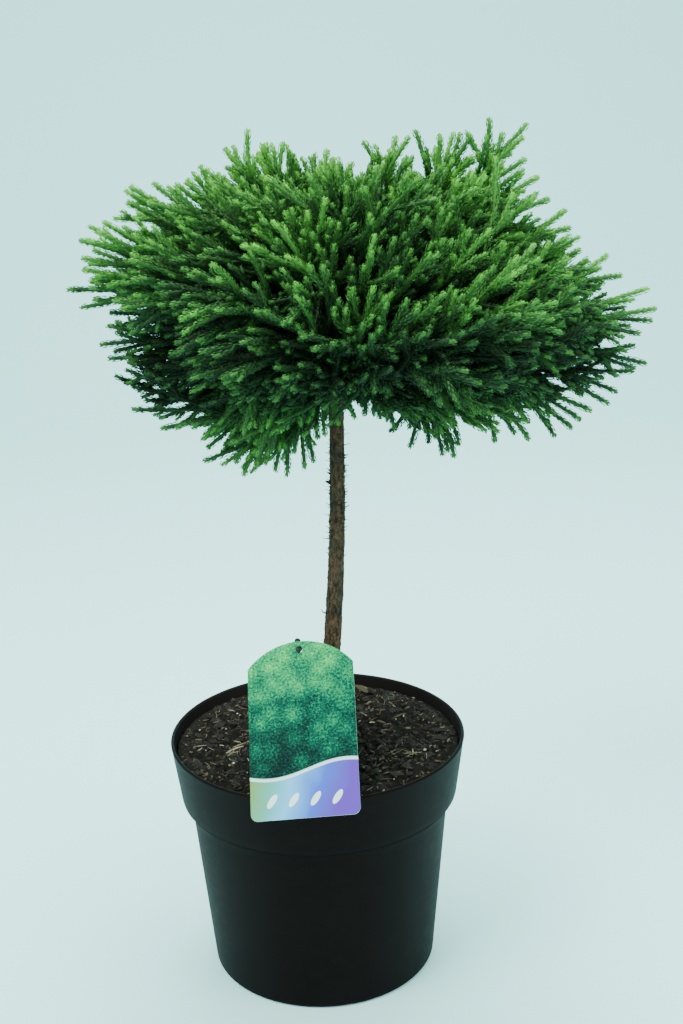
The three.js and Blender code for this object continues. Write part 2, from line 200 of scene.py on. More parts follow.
def fill_mesh(name, points, polygons, slots=None, smooth_faces=True, uv=None):
    """A mesh from an (n, 3) array of points and a list of (m, k) arrays of corners. slots gives each polygon
    its material slot, and uv each point its place on the print."""
    mesh = bpy.data.meshes.new(name)
    corners = np.concatenate([p.ravel() for p in polygons]).astype(np.int32)
    sizes = np.concatenate([np.full(len(p), p.shape[1]) for p in polygons])
    starts = np.concatenate([[0], np.cumsum(sizes)[:-1]]).astype(np.int32)
    mesh.vertices.add(len(points))
    mesh.vertices.foreach_set("co", np.ascontiguousarray(points, dtype=np.float32).ravel())
    mesh.loops.add(len(corners))
    mesh.loops.foreach_set("vertex_index", corners)
    mesh.polygons.add(len(sizes))
    mesh.polygons.foreach_set("loop_start", starts)
    mesh.polygons.foreach_set("use_smooth", np.full(len(sizes), smooth_faces))
    if slots is not None:
        mesh.polygons.foreach_set("material_index", np.asarray(slots, dtype=np.int32))
    if uv is not None:
        layer = mesh.uv_layers.new(name="print")
        layer.data.foreach_set("uv", np.asarray(uv, dtype=np.float32)[corners].ravel())
    mesh.update(calc_edges=True)
    mesh.validate()
    return mesh


def place_piece(mesh, materials, slot, *nodes):
    """Puts a finished mesh into the scene as the piece of its name, which rides on the plant, in place of its
    CAD nodes."""
    piece = bpy.data.objects.new(mesh.name, mesh)
    bpy.context.scene.collection.objects.link(piece)
    for material in materials:
        mesh.materials.append(material)
    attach(piece, "root")
    if nodes:
        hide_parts(*nodes)


def grid_quads(rows, columns, closed=True):
    """Corners of the quads between the points of a grid, row by row; closed joins its last column to the
    first."""
    wide = columns if closed else columns - 1
    row, column = np.meshgrid(np.arange(rows - 1), np.arange(wide), indexing="ij")
    a = row * columns + column
    b = row * columns + (column + 1) % columns
    return np.stack([a, b, b + columns, a + columns], axis=-1).reshape(-1, 4)


def turned_surface(profile, sides):
    """A surface of revolution about Z: each (radius, height) pair of the profile becomes a ring of points,
    and the two ends close on the axis."""
    rings = profile[:, None, :1] * circle(even_turns(sides))
    points = raised(rings, profile[:, 1:]).reshape(-1, 3)
    ends = [[0, 0, profile[0, 1]], [0, 0, profile[-1, 1]]]
    n, last, corner = len(points), len(points) - sides, np.arange(sides)
    beyond = (corner + 1) % sides
    fan_start = np.stack([np.full(sides, n), beyond, corner], axis=-1)
    fan_end = np.stack([np.full(sides, n + 1), last + corner, last + beyond], axis=-1)
    return np.vstack([points, ends]), [grid_quads(len(profile), sides), fan_start, fan_end]


def side_frames(tangents):
    """Two unit vectors square to each tangent: one level where it can be, one square to both."""
    upright = np.abs(tangents[..., 2:]) > 0.95
    reference = np.where(upright, [1.0, 0.0, 0.0], [0.0, 0.0, 1.0])
    across = unit(np.cross(tangents, reference))
    return across, np.cross(tangents, across)


def tubes(paths, radii, sides):
    """Many closed tubes at once. paths is (tubes, stations, 3), and radii fits (tubes, stations): each
    station carries a ring of points square to the path, and both ends are capped by one polygon."""
    count, stations, _ = paths.shape
    tangents = unit(np.gradient(paths, axis=1))
    reference = np.repeat(tangents.mean(axis=1, keepdims=True), stations, axis=1)
    across, _ = side_frames(unit(reference))
    across = unit(across - tangents * (across * tangents).sum(-1, keepdims=True))
    up = np.cross(tangents, across)
    angle = even_turns(sides)
    ring = np.cos(angle)[:, None] * across[:, :, None] + np.sin(angle)[:, None] * up[:, :, None]
    points = paths[:, :, None] + ring * np.broadcast_to(radii, (count, stations))[:, :, None, None]
    base = (np.arange(count) * stations * sides)[:, None, None]
    quads = (grid_quads(stations, sides)[None] + base).reshape(-1, 4)
    start = base[:, 0] + np.arange(sides)[::-1]
    end = base[:, 0] + (stations - 1) * sides + np.arange(sides)
    return points.reshape(-1, 3), [quads, start, end]


def joined(parts):
    """Points and polygons of several (points, polygons) parts put together."""
    offsets = np.cumsum([0] + [len(points) for points, _ in parts])
    points = np.concatenate([points for points, _ in parts])
    polygons = [p + offset for (_, lists), offset in zip(parts, offsets) for p in lists]
    return points, polygons


def bezier(a, b, c, t):
    """Points on quadratic curves with end points a and c and pull point b, at shares t of their run."""
    t = np.asarray(t)[..., None]
    return (1 - t) ** 2 * a + 2 * t * (1 - t) * b + t**2 * c


def curves(foot, pull, tip, t):
    """Whole curves as (curves, stations, 3), all at the same shares t, or each at its own row of them."""
    return bezier(foot[:, None], pull[:, None], tip[:, None], t)


def along(lines, owner, share):
    """One point on each owner's curve at its share of the run, the curve's direction there, and the two side
    directions."""
    foot, pull, tip = (part[owner] for part in lines)
    tangent = unit(mix(pull - foot, tip - pull, share[:, None]))
    return bezier(foot, pull, tip, share), tangent, *side_frames(tangent)


def between(tangent, away, angle, size):
    """Steps of a given size that leave the tangents by an angle towards away."""
    return (np.cos(angle)[:, None] * tangent + np.sin(angle)[:, None] * away) * size[:, None]


def dealt(number):
    """Where line i carries number[i] things: each thing's line, and its turn on that line."""
    owner = np.repeat(np.arange(len(number)), number)
    return owner, np.arange(len(owner)) - np.repeat(np.cumsum(number) - number, number)


# ---------------------------------------------------------------- materials


def rgba(colour):
    """A colour with its alpha; a single number is a grey."""
    return (*colour, 1) if np.ndim(colour) else (colour, colour, colour, 1)


def plain_material(name, colour, roughness, specular=0.5):
    """A Principled material whose numbers stand directly on its sockets."""
    material = bpy.data.materials.new(name)
    material.use_nodes = True
    material.diffuse_color = rgba(colour)
    w = Weaver(material.node_tree)
    w.shade(Base_Color=rgba(colour), Roughness=roughness, Specular_IOR_Level=specular)
    return material


class Wire:
    """One output of a node. A sum, difference or product with it is a Math node."""

    def __init__(self, weaver, socket):
        self.weaver, self.socket = weaver, socket

    def __add__(self, other):
        return self.weaver.math("ADD", self, other)

    def __sub__(self, other):
        return self.weaver.math("SUBTRACT", self, other)

    def __mul__(self, other):
        return self.weaver.math("MULTIPLY", self, other)


class Weaver:
    """Places and joins the nodes of one node tree; place is the wire of the coordinates that its patterns lie
    on."""

    def __init__(self, tree):
        self.tree, self.place, self.column = tree, None, -1200

    def feed(self, node, inputs):
        """Gives a node's inputs, by name or by number as i0, their values or wires."""
        for key, value in inputs.items():
            socket = node.inputs[int(key[1:]) if key[1:].isdigit() else key.replace("_", " ")]
            if isinstance(value, Wire):
                self.tree.links.new(value.socket, socket)
            else:
                socket.default_value = value

    def node(self, kind, outputs, settings=None, **inputs):
        """A node with settings on itself. Returns the wire of its output, or the list of them."""
        node = self.tree.nodes.new(kind)
        node.location = (self.column, 0)
        self.column += 60
        for key, value in (settings or {}).items():
            setattr(node, key, value)
        self.feed(node, inputs)
        wires = [Wire(self, node.outputs[key]) for key in outputs]
        return wires[0] if len(wires) == 1 else wires

    def shade(self, **inputs):
        """Gives the Principled shader its inputs."""
        self.feed(self.tree.nodes["Principled BSDF"], inputs)

    def ramp(self, factor, *stops):
        """A colour ramp over (place, colour) stops."""
        wire = self.node("ShaderNodeValToRGB", ["Color"], i0=factor)
        elements = wire.socket.node.color_ramp.elements
        while len(elements) < len(stops):
            elements.new(0.5)
        for element, (place, colour) in zip(elements, stops):
            element.position = place
            element.color = rgba(colour)
        return wire

    def noise(self, scale, detail=4.0, roughness=0.55):
        """Noise on the coordinates."""
        values = {"Vector": self.place, "Scale": scale, "Detail": detail, "Roughness": roughness}
        return self.node("ShaderNodeTexNoise", ["Fac"], **values)

    def cells(self, output, scale):
        """One output of Voronoi cells on the coordinates."""
        return self.node("ShaderNodeTexVoronoi", [output], {"feature": "F1"}, Vector=self.place, Scale=scale)

    def grain(self, size, length, contrast):
        """The shared fine grain with its own values: its value and its streaks."""
        group = {"node_tree": grain_group()}
        values = {"Vector": self.place, "Size": size, "Length": length, "Contrast": contrast}
        return self.node("ShaderNodeGroup", ["Value", "Streak"], group, **values)

    def axes(self):
        """The coordinates' x, y and z."""
        return self.node("ShaderNodeSeparateXYZ", "XYZ", Vector=self.place)

    def math(self, operation, a, b=0.0, clamp=False):
        """A Math node."""
        return self.node("ShaderNodeMath", [0], {"operation": operation, "use_clamp": clamp}, i0=a, i1=b)

    def span(self, value, start, end, low, high):
        """low up to start, high from end on, and in proportion between."""
        values = {"From_Min": start, "From_Max": end, "To_Min": low, "To_Max": high}
        return self.node("ShaderNodeMapRange", ["Result"], Value=value, **values)

    def blend(self, factor, a, b):
        """Colour a where the factor is 0, and b where it is 1."""
        a, b = (colour if isinstance(colour, Wire) else rgba(colour) for colour in (a, b))
        return self.node("ShaderNodeMix", [2], {"data_type": "RGBA"}, i0=factor, i6=a, i7=b)

    def bump(self, height, strength, distance):
        """Feeds a height through a Bump node into the shader's normal."""
        bump = {"Strength": strength, "Distance": distance, "Height": height}
        self.shade(Normal=self.node("ShaderNodeBump", ["Normal"], **bump))


def grain_group():
    """Shared fine grain: a noise stretched along Z, once as a value and once as its streaks."""
    name = "fine_grain"
    if name in bpy.data.node_groups:
        return bpy.data.node_groups[name]
    group = bpy.data.node_groups.new(name, "ShaderNodeTree")
    group.interface.new_socket("Vector", in_out="INPUT", socket_type="NodeSocketVector")
    for title, value in (("Size", 300.0), ("Length", 0.25), ("Contrast", 2.0)):
        group.interface.new_socket(title, in_out="INPUT", socket_type="NodeSocketFloat").default_value = value
    for title in ("Value", "Streak"):
        group.interface.new_socket(title, in_out="OUTPUT", socket_type="NodeSocketFloat")
    w = Weaver(group)
    vector, size, length, contrast = w.node("NodeGroupInput", ["Vector", "Size", "Length", "Contrast"])
    stretch = w.node("ShaderNodeCombineXYZ", [0], X=1.0, Y=1.0, Z=length)
    w.place = w.node("ShaderNodeVectorMath", [0], {"operation": "MULTIPLY"}, i0=vector, i1=stretch)
    value = w.noise(size)
    streak = w.math("ADD", (value - 0.5) * contrast, 0.5, clamp=True)
    w.node("NodeGroupOutput", [], Value=value, Streak=streak)
    return group


def worked_material(name, roughness, specular, colour=0.5, uv_map=None):
    """A material ready to be worked, and the weaver of its nodes: patterns lie on Object coordinates or a UV
    map."""
    material = plain_material(name, colour, roughness, specular)
    w = Weaver(material.node_tree)
    if uv_map:
        w.place = w.node("ShaderNodeUVMap", ["UV"], {"uv_map": uv_map})
    else:
        w.place = w.node("ShaderNodeTexCoord", ["Object"])
    return material, w


def bark_material(settings):
    """Shredding bark: rust-brown and grey-brown patches, narrow strips along the stem, dark cracks and a
    grain of fine crumbs, darker towards the crown as painted shade under it, with the same strips and crumbs
    in the bump."""
    material, w = worked_material("fibrous_bark", 0.9, 0.2)
    crack = settings.crack_colour
    strip_height, strips = w.grain(380.0, 0.4, 2.6)
    crumb_height, crumbs = w.grain(750.0, 0.8, 3.2)
    patches = w.noise(95.0, 5.0, 0.7)
    rust = w.ramp(strips, (0.0, crack), (0.4, settings.bark_colour), (1.0, settings.fibre_colour))
    grey = w.ramp(strips, (0.1, crack), (0.7, settings.grey_colour))
    colour = w.blend(w.ramp(patches, (0.44, 0), (0.6, 0.9)), rust, grey)
    colour = w.blend(w.ramp(crumbs, (0.12, 1), (0.4, 0)) * 0.75, colour, crack)
    # Painted shade: from a height of 0.24 to 0.42, below the crown, the bark blends up to 0.32 of the way to
    # the crack colour.
    shade = w.span(w.axes()[2], 0.24, 0.42, 0.0, 0.32)
    w.shade(Base_Color=w.blend(shade, colour, crack))
    w.bump(strip_height + crumb_height * 0.6, 1.0, 0.0011)
    return material


def pot_material(settings):
    """Black moulded plastic: nearly even colour, a dusty bloom in patches, faint scuffs and a fine
    orange-peel, a dull line under the collar and a dusty inside."""
    material, w = worked_material("nursery_pot_plastic", 0.5, 0.073)
    bloom = w.noise(9.0, 6.0, 0.65) * 0.55 + w.grain(90.0, 2.5, 5.0)[1] * 0.16
    colour = w.ramp(bloom, (0.2, settings.colour), (0.75, settings.dust_colour))
    x, y, height = w.axes()
    radius = w.math("SQRT", x * x + y * y)
    wall_middle = (height - 0.17) * 0.137 + 0.1249
    inside = w.math("LESS_THAN", radius, wall_middle) * w.math("GREATER_THAN", height, 0.171)
    dull = w.span(w.math("ABSOLUTE", height - STEP_HEIGHT), 0.001, 0.004, 0.4, 0.0)
    w.shade(
        Base_Color=w.blend(inside * 0.8, colour, (0.015, 0.0135, 0.013)),
        Roughness=bloom * 0.25 + (dull + 0.5),
        Specular_Tint=(1.0, 0.55, 0.52, 1),
    )
    w.bump(w.noise(700.0, 2.0), 0.12, 0.0003)
    return material


def soil_material(settings):
    """Moist potting mix: near-black crumbs with brown and pale flecks, rough, with a crumbly bump."""
    material, w = worked_material("potting_mix", 0.95, 0.2)
    crumbs = w.noise(220.0, 8.0, 0.7)
    fleck = w.node("ShaderNodeSeparateColor", [0], Color=w.cells("Color", 420.0))
    deep, dry, pale = (0.0035, 0.003, 0.0024), (0.032, 0.026, 0.018), (0.1, 0.08, 0.045)
    base = w.ramp(crumbs, (0.3, deep), (0.6, settings.colour), (0.85, dry))
    w.shade(Base_Color=w.blend(w.ramp(fleck, (0.96, 0), (0.98, 1)), base, pale))
    w.bump(crumbs, 1.0, 0.0025)
    return material


def label_material():
    """The label's print, in its own UV: a field of mottled leaf greens, yellowish at the head and bluish
    lower down, that ends in a wavy pale line, and below it a band that runs from olive through pale blue to
    violet, with a row of plain pale leaf marks."""
    material, w = worked_material("label_print", 0.5, 0.05, (0.3, 0.6, 0.4), "print")
    x, y, _ = w.axes()
    shade = w.noise(46.0, 5.0, 0.8) * 1.5 + w.cells("Distance", 6.5) * -0.3 + (y - 1.0) * 0.32
    green = w.ramp(
        shade, (0.34, (0.0002, 0.011, 0.01)), (0.52, (0.0008, 0.06, 0.04)), (0.68, (0.002, 0.19, 0.085)),
        (0.86, (0.02, 0.42, 0.11)), (1.0, (0.2, 0.72, 0.16)),
    )
    band = w.ramp(
        x - y * 0.35 + w.noise(2.2, 2.0) * 0.3, (0.0, (0.2, 0.3, 0.03)), (0.22, (0.1, 0.4, 0.3)),
        (0.42, (0.13, 0.5, 0.85)), (0.68, (0.06, 0.13, 0.62)), (0.95, (0.13, 0.05, 0.42)),
    )
    edge = y - (w.math("SINE", x * 4.4 + 3.9) * 0.075 + 0.44)
    printed = w.blend(w.ramp(edge + 0.5, (0.497, 0), (0.503, 1)), band, green)
    line = w.ramp(w.math("ABSOLUTE", edge), (0.012, 0.85), (0.018, 0))
    printed = w.blend(line, printed, (0.75, 0.92, 0.88))
    step = w.math("FRACT", x * 5.0 + 0.5) - 0.5
    tall = (y - 0.17) * 11.0
    sway = step - tall * 0.25
    leaf = w.ramp(sway * sway * 16.0 + tall * tall, (0.45, 0.9), (0.5, 0))
    inside = w.ramp(w.math("ABSOLUTE", x - 0.5), (0.38, 1), (0.39, 0))
    w.shade(Base_Color=w.blend(leaf * inside, printed, (0.85, 0.93, 0.9)))
    return material


def card_material():
    """The label's plain back and edge: white plastic card with a faint cloudiness and a smooth skin."""
    material, w = worked_material("label_back", 0.4, 0.4)
    w.shade(Base_Color=w.ramp(w.noise(60.0, 3.0), (0.3, (0.62, 0.66, 0.63)), (0.7, (0.74, 0.77, 0.74))))
    w.bump(w.noise(900.0, 2.0), 0.06, 0.0002)
    return material


def pin_material():
    """The pin's black moulded plastic, with a slight grain and a little dust."""
    material, w = worked_material("pin_plastic", 0.5, 0.3)
    dust = w.noise(260.0, 4.0)
    w.shade(Base_Color=w.ramp(dust, (0.35, (0.003, 0.0034, 0.0034)), (0.75, (0.012, 0.013, 0.012))))
    w.bump(dust, 0.1, 0.0003)
    return material


def twig_material():
    """Brown-green young bark of limbs and twigs, with dark rings and a rough skin."""
    material, w = worked_material("twig_bark", 0.85, 0.2)
    height, streaks = w.grain(700.0, 0.8, 2.6)
    w.shade(Base_Color=w.ramp(streaks, (0.2, (0.008, 0.0065, 0.0035)), (0.8, (0.026, 0.02, 0.0095))))
    w.bump(height, 0.7, 0.0004)
    return material


# ---------------------------------------------------------------- the plant's lines


def stem_line(height):
    """The stem's middle at a height: a straight lean with a slow sway from side to side."""
    t = np.clip((np.asarray(height, dtype=float) - STEM_FOOT[2]) / (STEM_TIP[2] - STEM_FOOT[2]), 0, 1)
    line = mix(STEM_FOOT, STEM_TIP, t[..., None])
    line[..., 0] += STEM_SWAY[0] * np.sin(1.5 * math.pi * t)
    line[..., 1] += STEM_SWAY[1] * (np.sin(1.6 * math.pi * t + 0.5) - math.sin(0.5))
    return line


def stem_radius(height):
    """The stem's radius at a height: an even taper to the head, a faster one above it, and a flare at the
    foot."""
    above = height - STEM_FOOT[2]
    head = STEM_HEAD - STEM_FOOT[2]
    at_foot, at_head, at_tip = STEM_GIRTH
    lower = mix(at_foot, at_head, above / head)
    upper = mix(at_head, at_tip, (above - head) / (STEM_TIP[2] - STEM_HEAD))
    flare = STEM_FLARE * smooth(1 - above / FLARE_RUN)
    return np.where(height < STEM_HEAD, lower + flare, upper)


def heart_of(places):
    """The crown's heart on the stem, once for each place."""
    return stem_line(np.full(len(places), CROWN_HEART))


def crown_reach(dx, dy):
    """The crown's reach along x and y on the side of its middle where a place lies."""
    side = np.where(dx > 0, CROWN_REACH["right"], CROWN_REACH["left"])
    return side, np.where(dy > 0, CROWN_REACH["back"], CROWN_REACH["front"])


def crown_at(x, y):
    """At places seen from above: the share of the crown's reach, and the heights of its top and underside."""
    dx, dy = x - CROWN_MIDDLE[0], y - CROWN_MIDDLE[1]
    azimuth = np.arctan2(dy, dx)
    side, face = crown_reach(dx, dy)
    lobes = 1 + 0.03 * np.sin(5 * azimuth + 0.6) + 0.02 * np.sin(9 * azimuth - 1.1)
    share = np.hypot(dx / side, dy / face) / lobes
    front = np.where(dy < 0, np.sin(azimuth) ** 6 * smooth(share * 3) * (1 - share**3), 0)
    tilt = CROWN_TILT * dx * share**2
    top = np.interp(share, *CROWN_TOP) - tilt
    underside = np.interp(share, *CROWN_UNDERSIDE) - tilt + CROWN_FRONT_LIFT * np.maximum(0, front)
    return share, top, underside


def mass_middles():
    """Names, middles and bough heights of the foliage masses, ring by ring."""
    names, middles, heights = [], [], []
    for ring, count, first, reach, level, boughs in MASS_RINGS:
        for i in range(count):
            azimuth = math.radians(first + 360 * i / count)
            dx, dy = math.cos(azimuth), math.sin(azimuth)
            side, face = crown_reach(dx, dy)
            x = CROWN_MIDDLE[0] + dx * reach * side
            y = CROWN_MIDDLE[1] + dy * reach * face
            _, top, underside = crown_at(np.array([x]), np.array([y]))
            names.append(f"{ring}_{i + 1}")
            middles.append((x, y, mix(underside[0], top[0], level)))
            heights.append(boughs[i % len(boughs)])
    return names, np.array(middles), np.array(heights)


# ---------------------------------------------------------------- settings


def metres(name, description, default):
    """A length that the user can set."""
    return FloatProperty(name=name, description=description, default=default, unit="LENGTH")


def degrees(name, description, default):
    """An angle that the user can set."""
    return FloatProperty(name=name, description=description, default=math.radians(default), subtype="ANGLE")


def tally(name, description, default):
    """A whole number that the user can set."""
    return IntProperty(name=name, description=description, default=default)


def paint(name, description, *default):
    """A colour that the user can set."""
    return FloatVectorProperty(name=name, description=description, default=default, subtype="COLOR")


class PotSettings(bpy.types.PropertyGroup):
    height: metres("Height", "Rim above the floor", 0.223)
    rim_radius: metres("Rim radius", "Outside of the rim", 0.1335)
    waist_radius: metres("Waist", "Radius below the collar", 0.118)
    base_radius: metres("Base", "Radius at the floor", 0.1032)
    wall: metres("Wall", "Thickness of the wall", 0.0024)
    colour: paint("Plastic", "Colour of the clean plastic", 0.0019, 0.0014, 0.0015)
    dust_colour: paint("Dust", "Colour where dust and scuffs show", 0.0052, 0.0045, 0.0044)


class SoilSettings(bpy.types.PropertyGroup):
    level: metres("Level", "Height of the soil", 0.212)
    colour: paint("Mix", "Colour of the moist mix", 0.012, 0.0092, 0.0059)
    fibres: tally("Fibres", "Number of straw fibres and chips", 1150)
    crumbs: tally("Crumbs", "Number of loose crumbs", 1500)


class BarkSettings(bpy.types.PropertyGroup):
    relief: metres("Relief", "Depth of the strips of bark", 0.0008)
    bark_colour: paint("Bark", "Main reddish brown", 0.07, 0.0345, 0.016)
    fibre_colour: paint("Fibre", "Lighter fibres", 0.155, 0.084, 0.04)
    grey_colour: paint("Weathered", "Weathered grey-brown", 0.046, 0.038, 0.023)
    crack_colour: paint("Cracks", "Dark between the strips", 0.01, 0.0075, 0.005)


class CrownSettings(bpy.types.PropertyGroup):
    seed: tally("Seed", "Seed of the branching", 7)
    sprays: tally("Sprays", "Number of sprays over the surface", 400)
    inner_sprays: tally("Inner sprays", "Number of dark sprays inside", 230)
    needles: tally("Needles", "Number of needles in all", 400000)
    needle_length: metres("Needle", "Length of a full needle", 0.0048)
    needle_width: metres("Width", "Width of a needle", 0.0015)


class LabelSettings(bpy.types.PropertyGroup):
    width: metres("Width", "Width of the label", 0.092)
    side: metres("Side", "Length of its straight sides", 0.131)
    arch: metres("Arch", "Rise of its arched head", 0.022)
    thickness: metres("Thickness", "Thickness of the card", 0.0008)


class StageSettings(bpy.types.PropertyGroup):
    lens: FloatProperty(name="Lens", description="Focal length in mm", default=52.73)
    distance: metres("Distance", "Camera in front of the pot", -FRONT_POINT[1])
    eye: metres("Eye", "Camera above the floor", FRONT_POINT[2])
    pitch: degrees("Pitch", "Downward", 17.47)
    roll: degrees("Roll", "About the line of sight", -1.67)
    yaw: degrees("Yaw", "To the right", 1.27)
    floor_colour: paint("Floor", "Colour of the floor", 0.57, 0.95, 0.94)


# ---------------------------------------------------------------- pot and soil


def pot_profile(settings):
    """The pot's wall as (radius, height) pairs, out from the middle of the underside, up the outside, over
    the rounded lip and down the inside to the middle of the floor. The collar's lower edge steps in to the
    body."""
    height, rim, wall = settings.height, settings.rim_radius, settings.wall
    waist, base = settings.waist_radius, settings.base_radius
    underside = [[0.02, 0.0], [0.06, 0.0]]
    foot = [base - FOOT_CORNER, FOOT_CORNER] + FOOT_CORNER * circle(np.linspace(-math.pi / 2, 0, 7))
    body = np.linspace([base, FOOT_CORNER], [waist, 0.1628], 14)[1:]
    step = [[0.0001, 0.1631], [0.0005, 0.1634], [0.0030, 0.1637], [0.0058, 0.1650], [0.0076, 0.1674]]
    step = np.array(step) + [waist, 0]
    collar = np.linspace([0.1263, 0.1700], [rim - 0.0005, height - 0.0042], 9)
    lip = [rim - LIP_ROUND, height - LIP_ROUND] + LIP_ROUND * circle(np.linspace(-0.35, math.pi, 9))
    inside = [
        [rim - wall - 0.0010, height - 0.0035], [0.1265 - wall, 0.171], [waist + 0.0005 - wall, 0.164],
        [waist - wall, 0.161], [base + 0.0005 - wall, 0.012], [base - 0.0010 - wall, 0.006],
        [base - 0.0055, wall], [0.02, wall],
    ]
    return np.vstack([underside, foot, body, step, collar, lip, inside])


def drilled(mesh, drill, name):
    """The mesh with the drill's solid taken out of it."""
    pot = bpy.data.objects.new(name, mesh)
    bit = bpy.data.objects.new(name + "_drill", drill)
    for item in (pot, bit):
        bpy.context.scene.collection.objects.link(item)
    cut = pot.modifiers.new("holes", "BOOLEAN")
    cut.operation = "DIFFERENCE"
    cut.object = bit
    cut.solver = "EXACT"
    bpy.context.view_layer.update()
    result = bpy.data.meshes.new_from_object(pot.evaluated_get(bpy.context.evaluated_depsgraph_get()))
    result.name = name
    for item in (pot, bit):
        bpy.data.objects.remove(item)
    return result


class CEDAR_OT_pot(bpy.types.Operator):
    """Make the round nursery pot with its collar, lip and drainage holes"""

    bl_idname = "cedar.pot"
    bl_label = "Pot"

    def execute(self, context):
        settings = context.scene.cedar_pot
        shell = fill_mesh("pot_shell", *turned_surface(pot_profile(settings), POT_SIDES))
        feet = HOLE_RING * circle((np.arange(HOLES) + 0.5) * 2 * math.pi / HOLES)
        paths = np.stack([raised(feet, -0.01), raised(feet, 0.01)], axis=1)
        mesh = drilled(shell, fill_mesh("pot_drill", *tubes(paths, HOLE_RADIUS, 32)), "nursery_pot")
        mesh.polygons.foreach_set("use_smooth", np.full(len(mesh.polygons), True))
        mesh.set_sharp_from_angle(angle=math.radians(50))
        place_piece(mesh, [pot_material(settings)], "pot", "pot")
        return {"FINISHED"}


# The soil's side as (radius, height) pairs, the rows and sides of its top, and how far out its mounds, fibres
# and crumbs reach.
SOIL_SIDE = ((0.0960, 0.0029), (0.0992, 0.0072), (0.1150, 0.1600), (0.1232, 0.1712), (0.1276, 0.2060))
SOIL_ROWS, SOIL_SIDES = 130, 270
MOUND_REACH, FIBRE_REACH, FIBRE_LIMIT, CRUMB_REACH = 0.1262, 0.124, 0.1255, 0.1235

# The kinds of loose bits on the soil: name, colour and roughness.
STRAW, PALE, CHIP, CRUMB, GRIT, BROWN = range(6)
BIT_KINDS = (
    ("straw_fibre", (0.15, 0.12, 0.065), 0.8),
    ("pale_fibre", (0.3, 0.27, 0.17), 0.8),
    ("bark_chip", (0.034, 0.0245, 0.014), 0.9),
    ("dark_crumb", (0.0105, 0.008, 0.005), 0.95),
    ("white_grit", (0.5, 0.48, 0.42), 0.8),
    ("brown_fibre", (0.075, 0.052, 0.026), 0.85),
)

# Single large bits on the soil: x, y, length, half width, heading in radians and kind.
LARGE_BITS = (
    (0.046, 0.102, 0.017, 0.0034, 2.4, STRAW), (0.050, 0.098, 0.012, 0.0024, 2.0, CHIP),
    (0.084, -0.042, 0.017, 0.0008, 0.3, STRAW), (0.084, -0.040, 0.015, 0.0007, 1.5, PALE),
    (0.081, -0.044, 0.014, 0.0007, 2.5, STRAW), (-0.076, -0.014, 0.018, 0.0009, 0.5, PALE),
    (-0.074, -0.020, 0.016, 0.0008, 0.3, STRAW), (-0.079, -0.026, 0.014, 0.0007, 0.7, STRAW),
    (-0.071, -0.004, 0.014, 0.0008, 0.1, STRAW),
)

# A crumb's stretch along and across itself and its height: the least, and how much more the most is.
CRUMB_SQUASH = ((1, 0.8), (0.7, 0.4), (0.35, 0.45))


def soil_height(x, y, level):
    """The soil's surface: slow waves as in the CAD, a low mound at the stem and crumbs of two sizes."""
    edge = smooth((MOUND_REACH - np.hypot(x, y)) / 0.012)
    stem = smooth(1 - (np.hypot(x - STEM_FOOT[0], y - STEM_FOOT[1]) - 0.012) / 0.02)
    places = np.stack([x, y, np.zeros_like(x)], axis=-1)
    clods = 0.0030 * (1 - 2 * np.abs(ripple(places, 0.026, seed=3, waves=9)))
    clods = clods + 0.0015 * (1 - 2 * np.abs(ripple(places, 0.011, seed=6, waves=9)))
    crumbs = 0.0009 * ripple(places, 0.0036, seed=4, waves=11)
    waves = np.sin(x / 0.023 + 1.3) * np.cos(y / 0.019 - 0.4) + 0.5 * np.sin(x / 0.009 - y / 0.011)
    heap = mix(0.0035 * waves / 1.5, 0.0034, stem)
    return level + edge * heap + (0.25 + 0.75 * edge) * (clods + crumbs) * (1 - 0.7 * stem)


def soil_fibres(rng, n, level):
    """Fibres on the soil: flat bent strips of three facets, each on the surface at its own place and turn.
    Returns points, polygons and each polygon's kind of bit."""
    stations, sides = 4, 3
    radius = FIBRE_REACH * np.sqrt(rng.random(n))
    middle = radius[:, None] * circle(random_turns(rng, n))
    long = rng.gamma(2.2, 0.0025, n).clip(0.0025, 0.018)
    long *= 1 - 0.4 * (radius > 0.11)
    turn = random_turns(rng, n)
    bend = rng.normal(0, 0.2, n)
    wide = 0.00026 + 0.0011 * rng.random(n) ** 3.5
    kind = rng.choice([STRAW, PALE, CHIP, BROWN], n, p=[0.27, 0.06, 0.4, 0.27])
    for k, (x, y, run, girth, heading, own) in enumerate(LARGE_BITS):
        middle[k], long[k], wide[k], turn[k], kind[k] = (x, y), run, girth, heading, own
    t = np.linspace(-0.5, 0.5, stations)
    flat = middle[:, None] + (long[:, None] * t)[..., None] * circle(turn[:, None] + bend[:, None] * t)
    reach = np.hypot(flat[..., 0], flat[..., 1])
    flat *= np.minimum(1, FIBRE_LIMIT / reach)[..., None]
    lift = rng.random(n) ** 3 * 0.0022 + 0.0003
    tilt = rng.normal(0, 0.18, n)[:, None] * t * long[:, None]
    z = soil_height(flat[..., 0], flat[..., 1], level).max(axis=1, keepdims=True) + lift[:, None] + tilt
    points, polygons = tubes(raised(flat, z), wide[:, None] * [0.45, 1.0, 0.9, 0.35], sides)
    return points, polygons, [np.repeat(kind, (stations - 1) * sides), kind, kind]


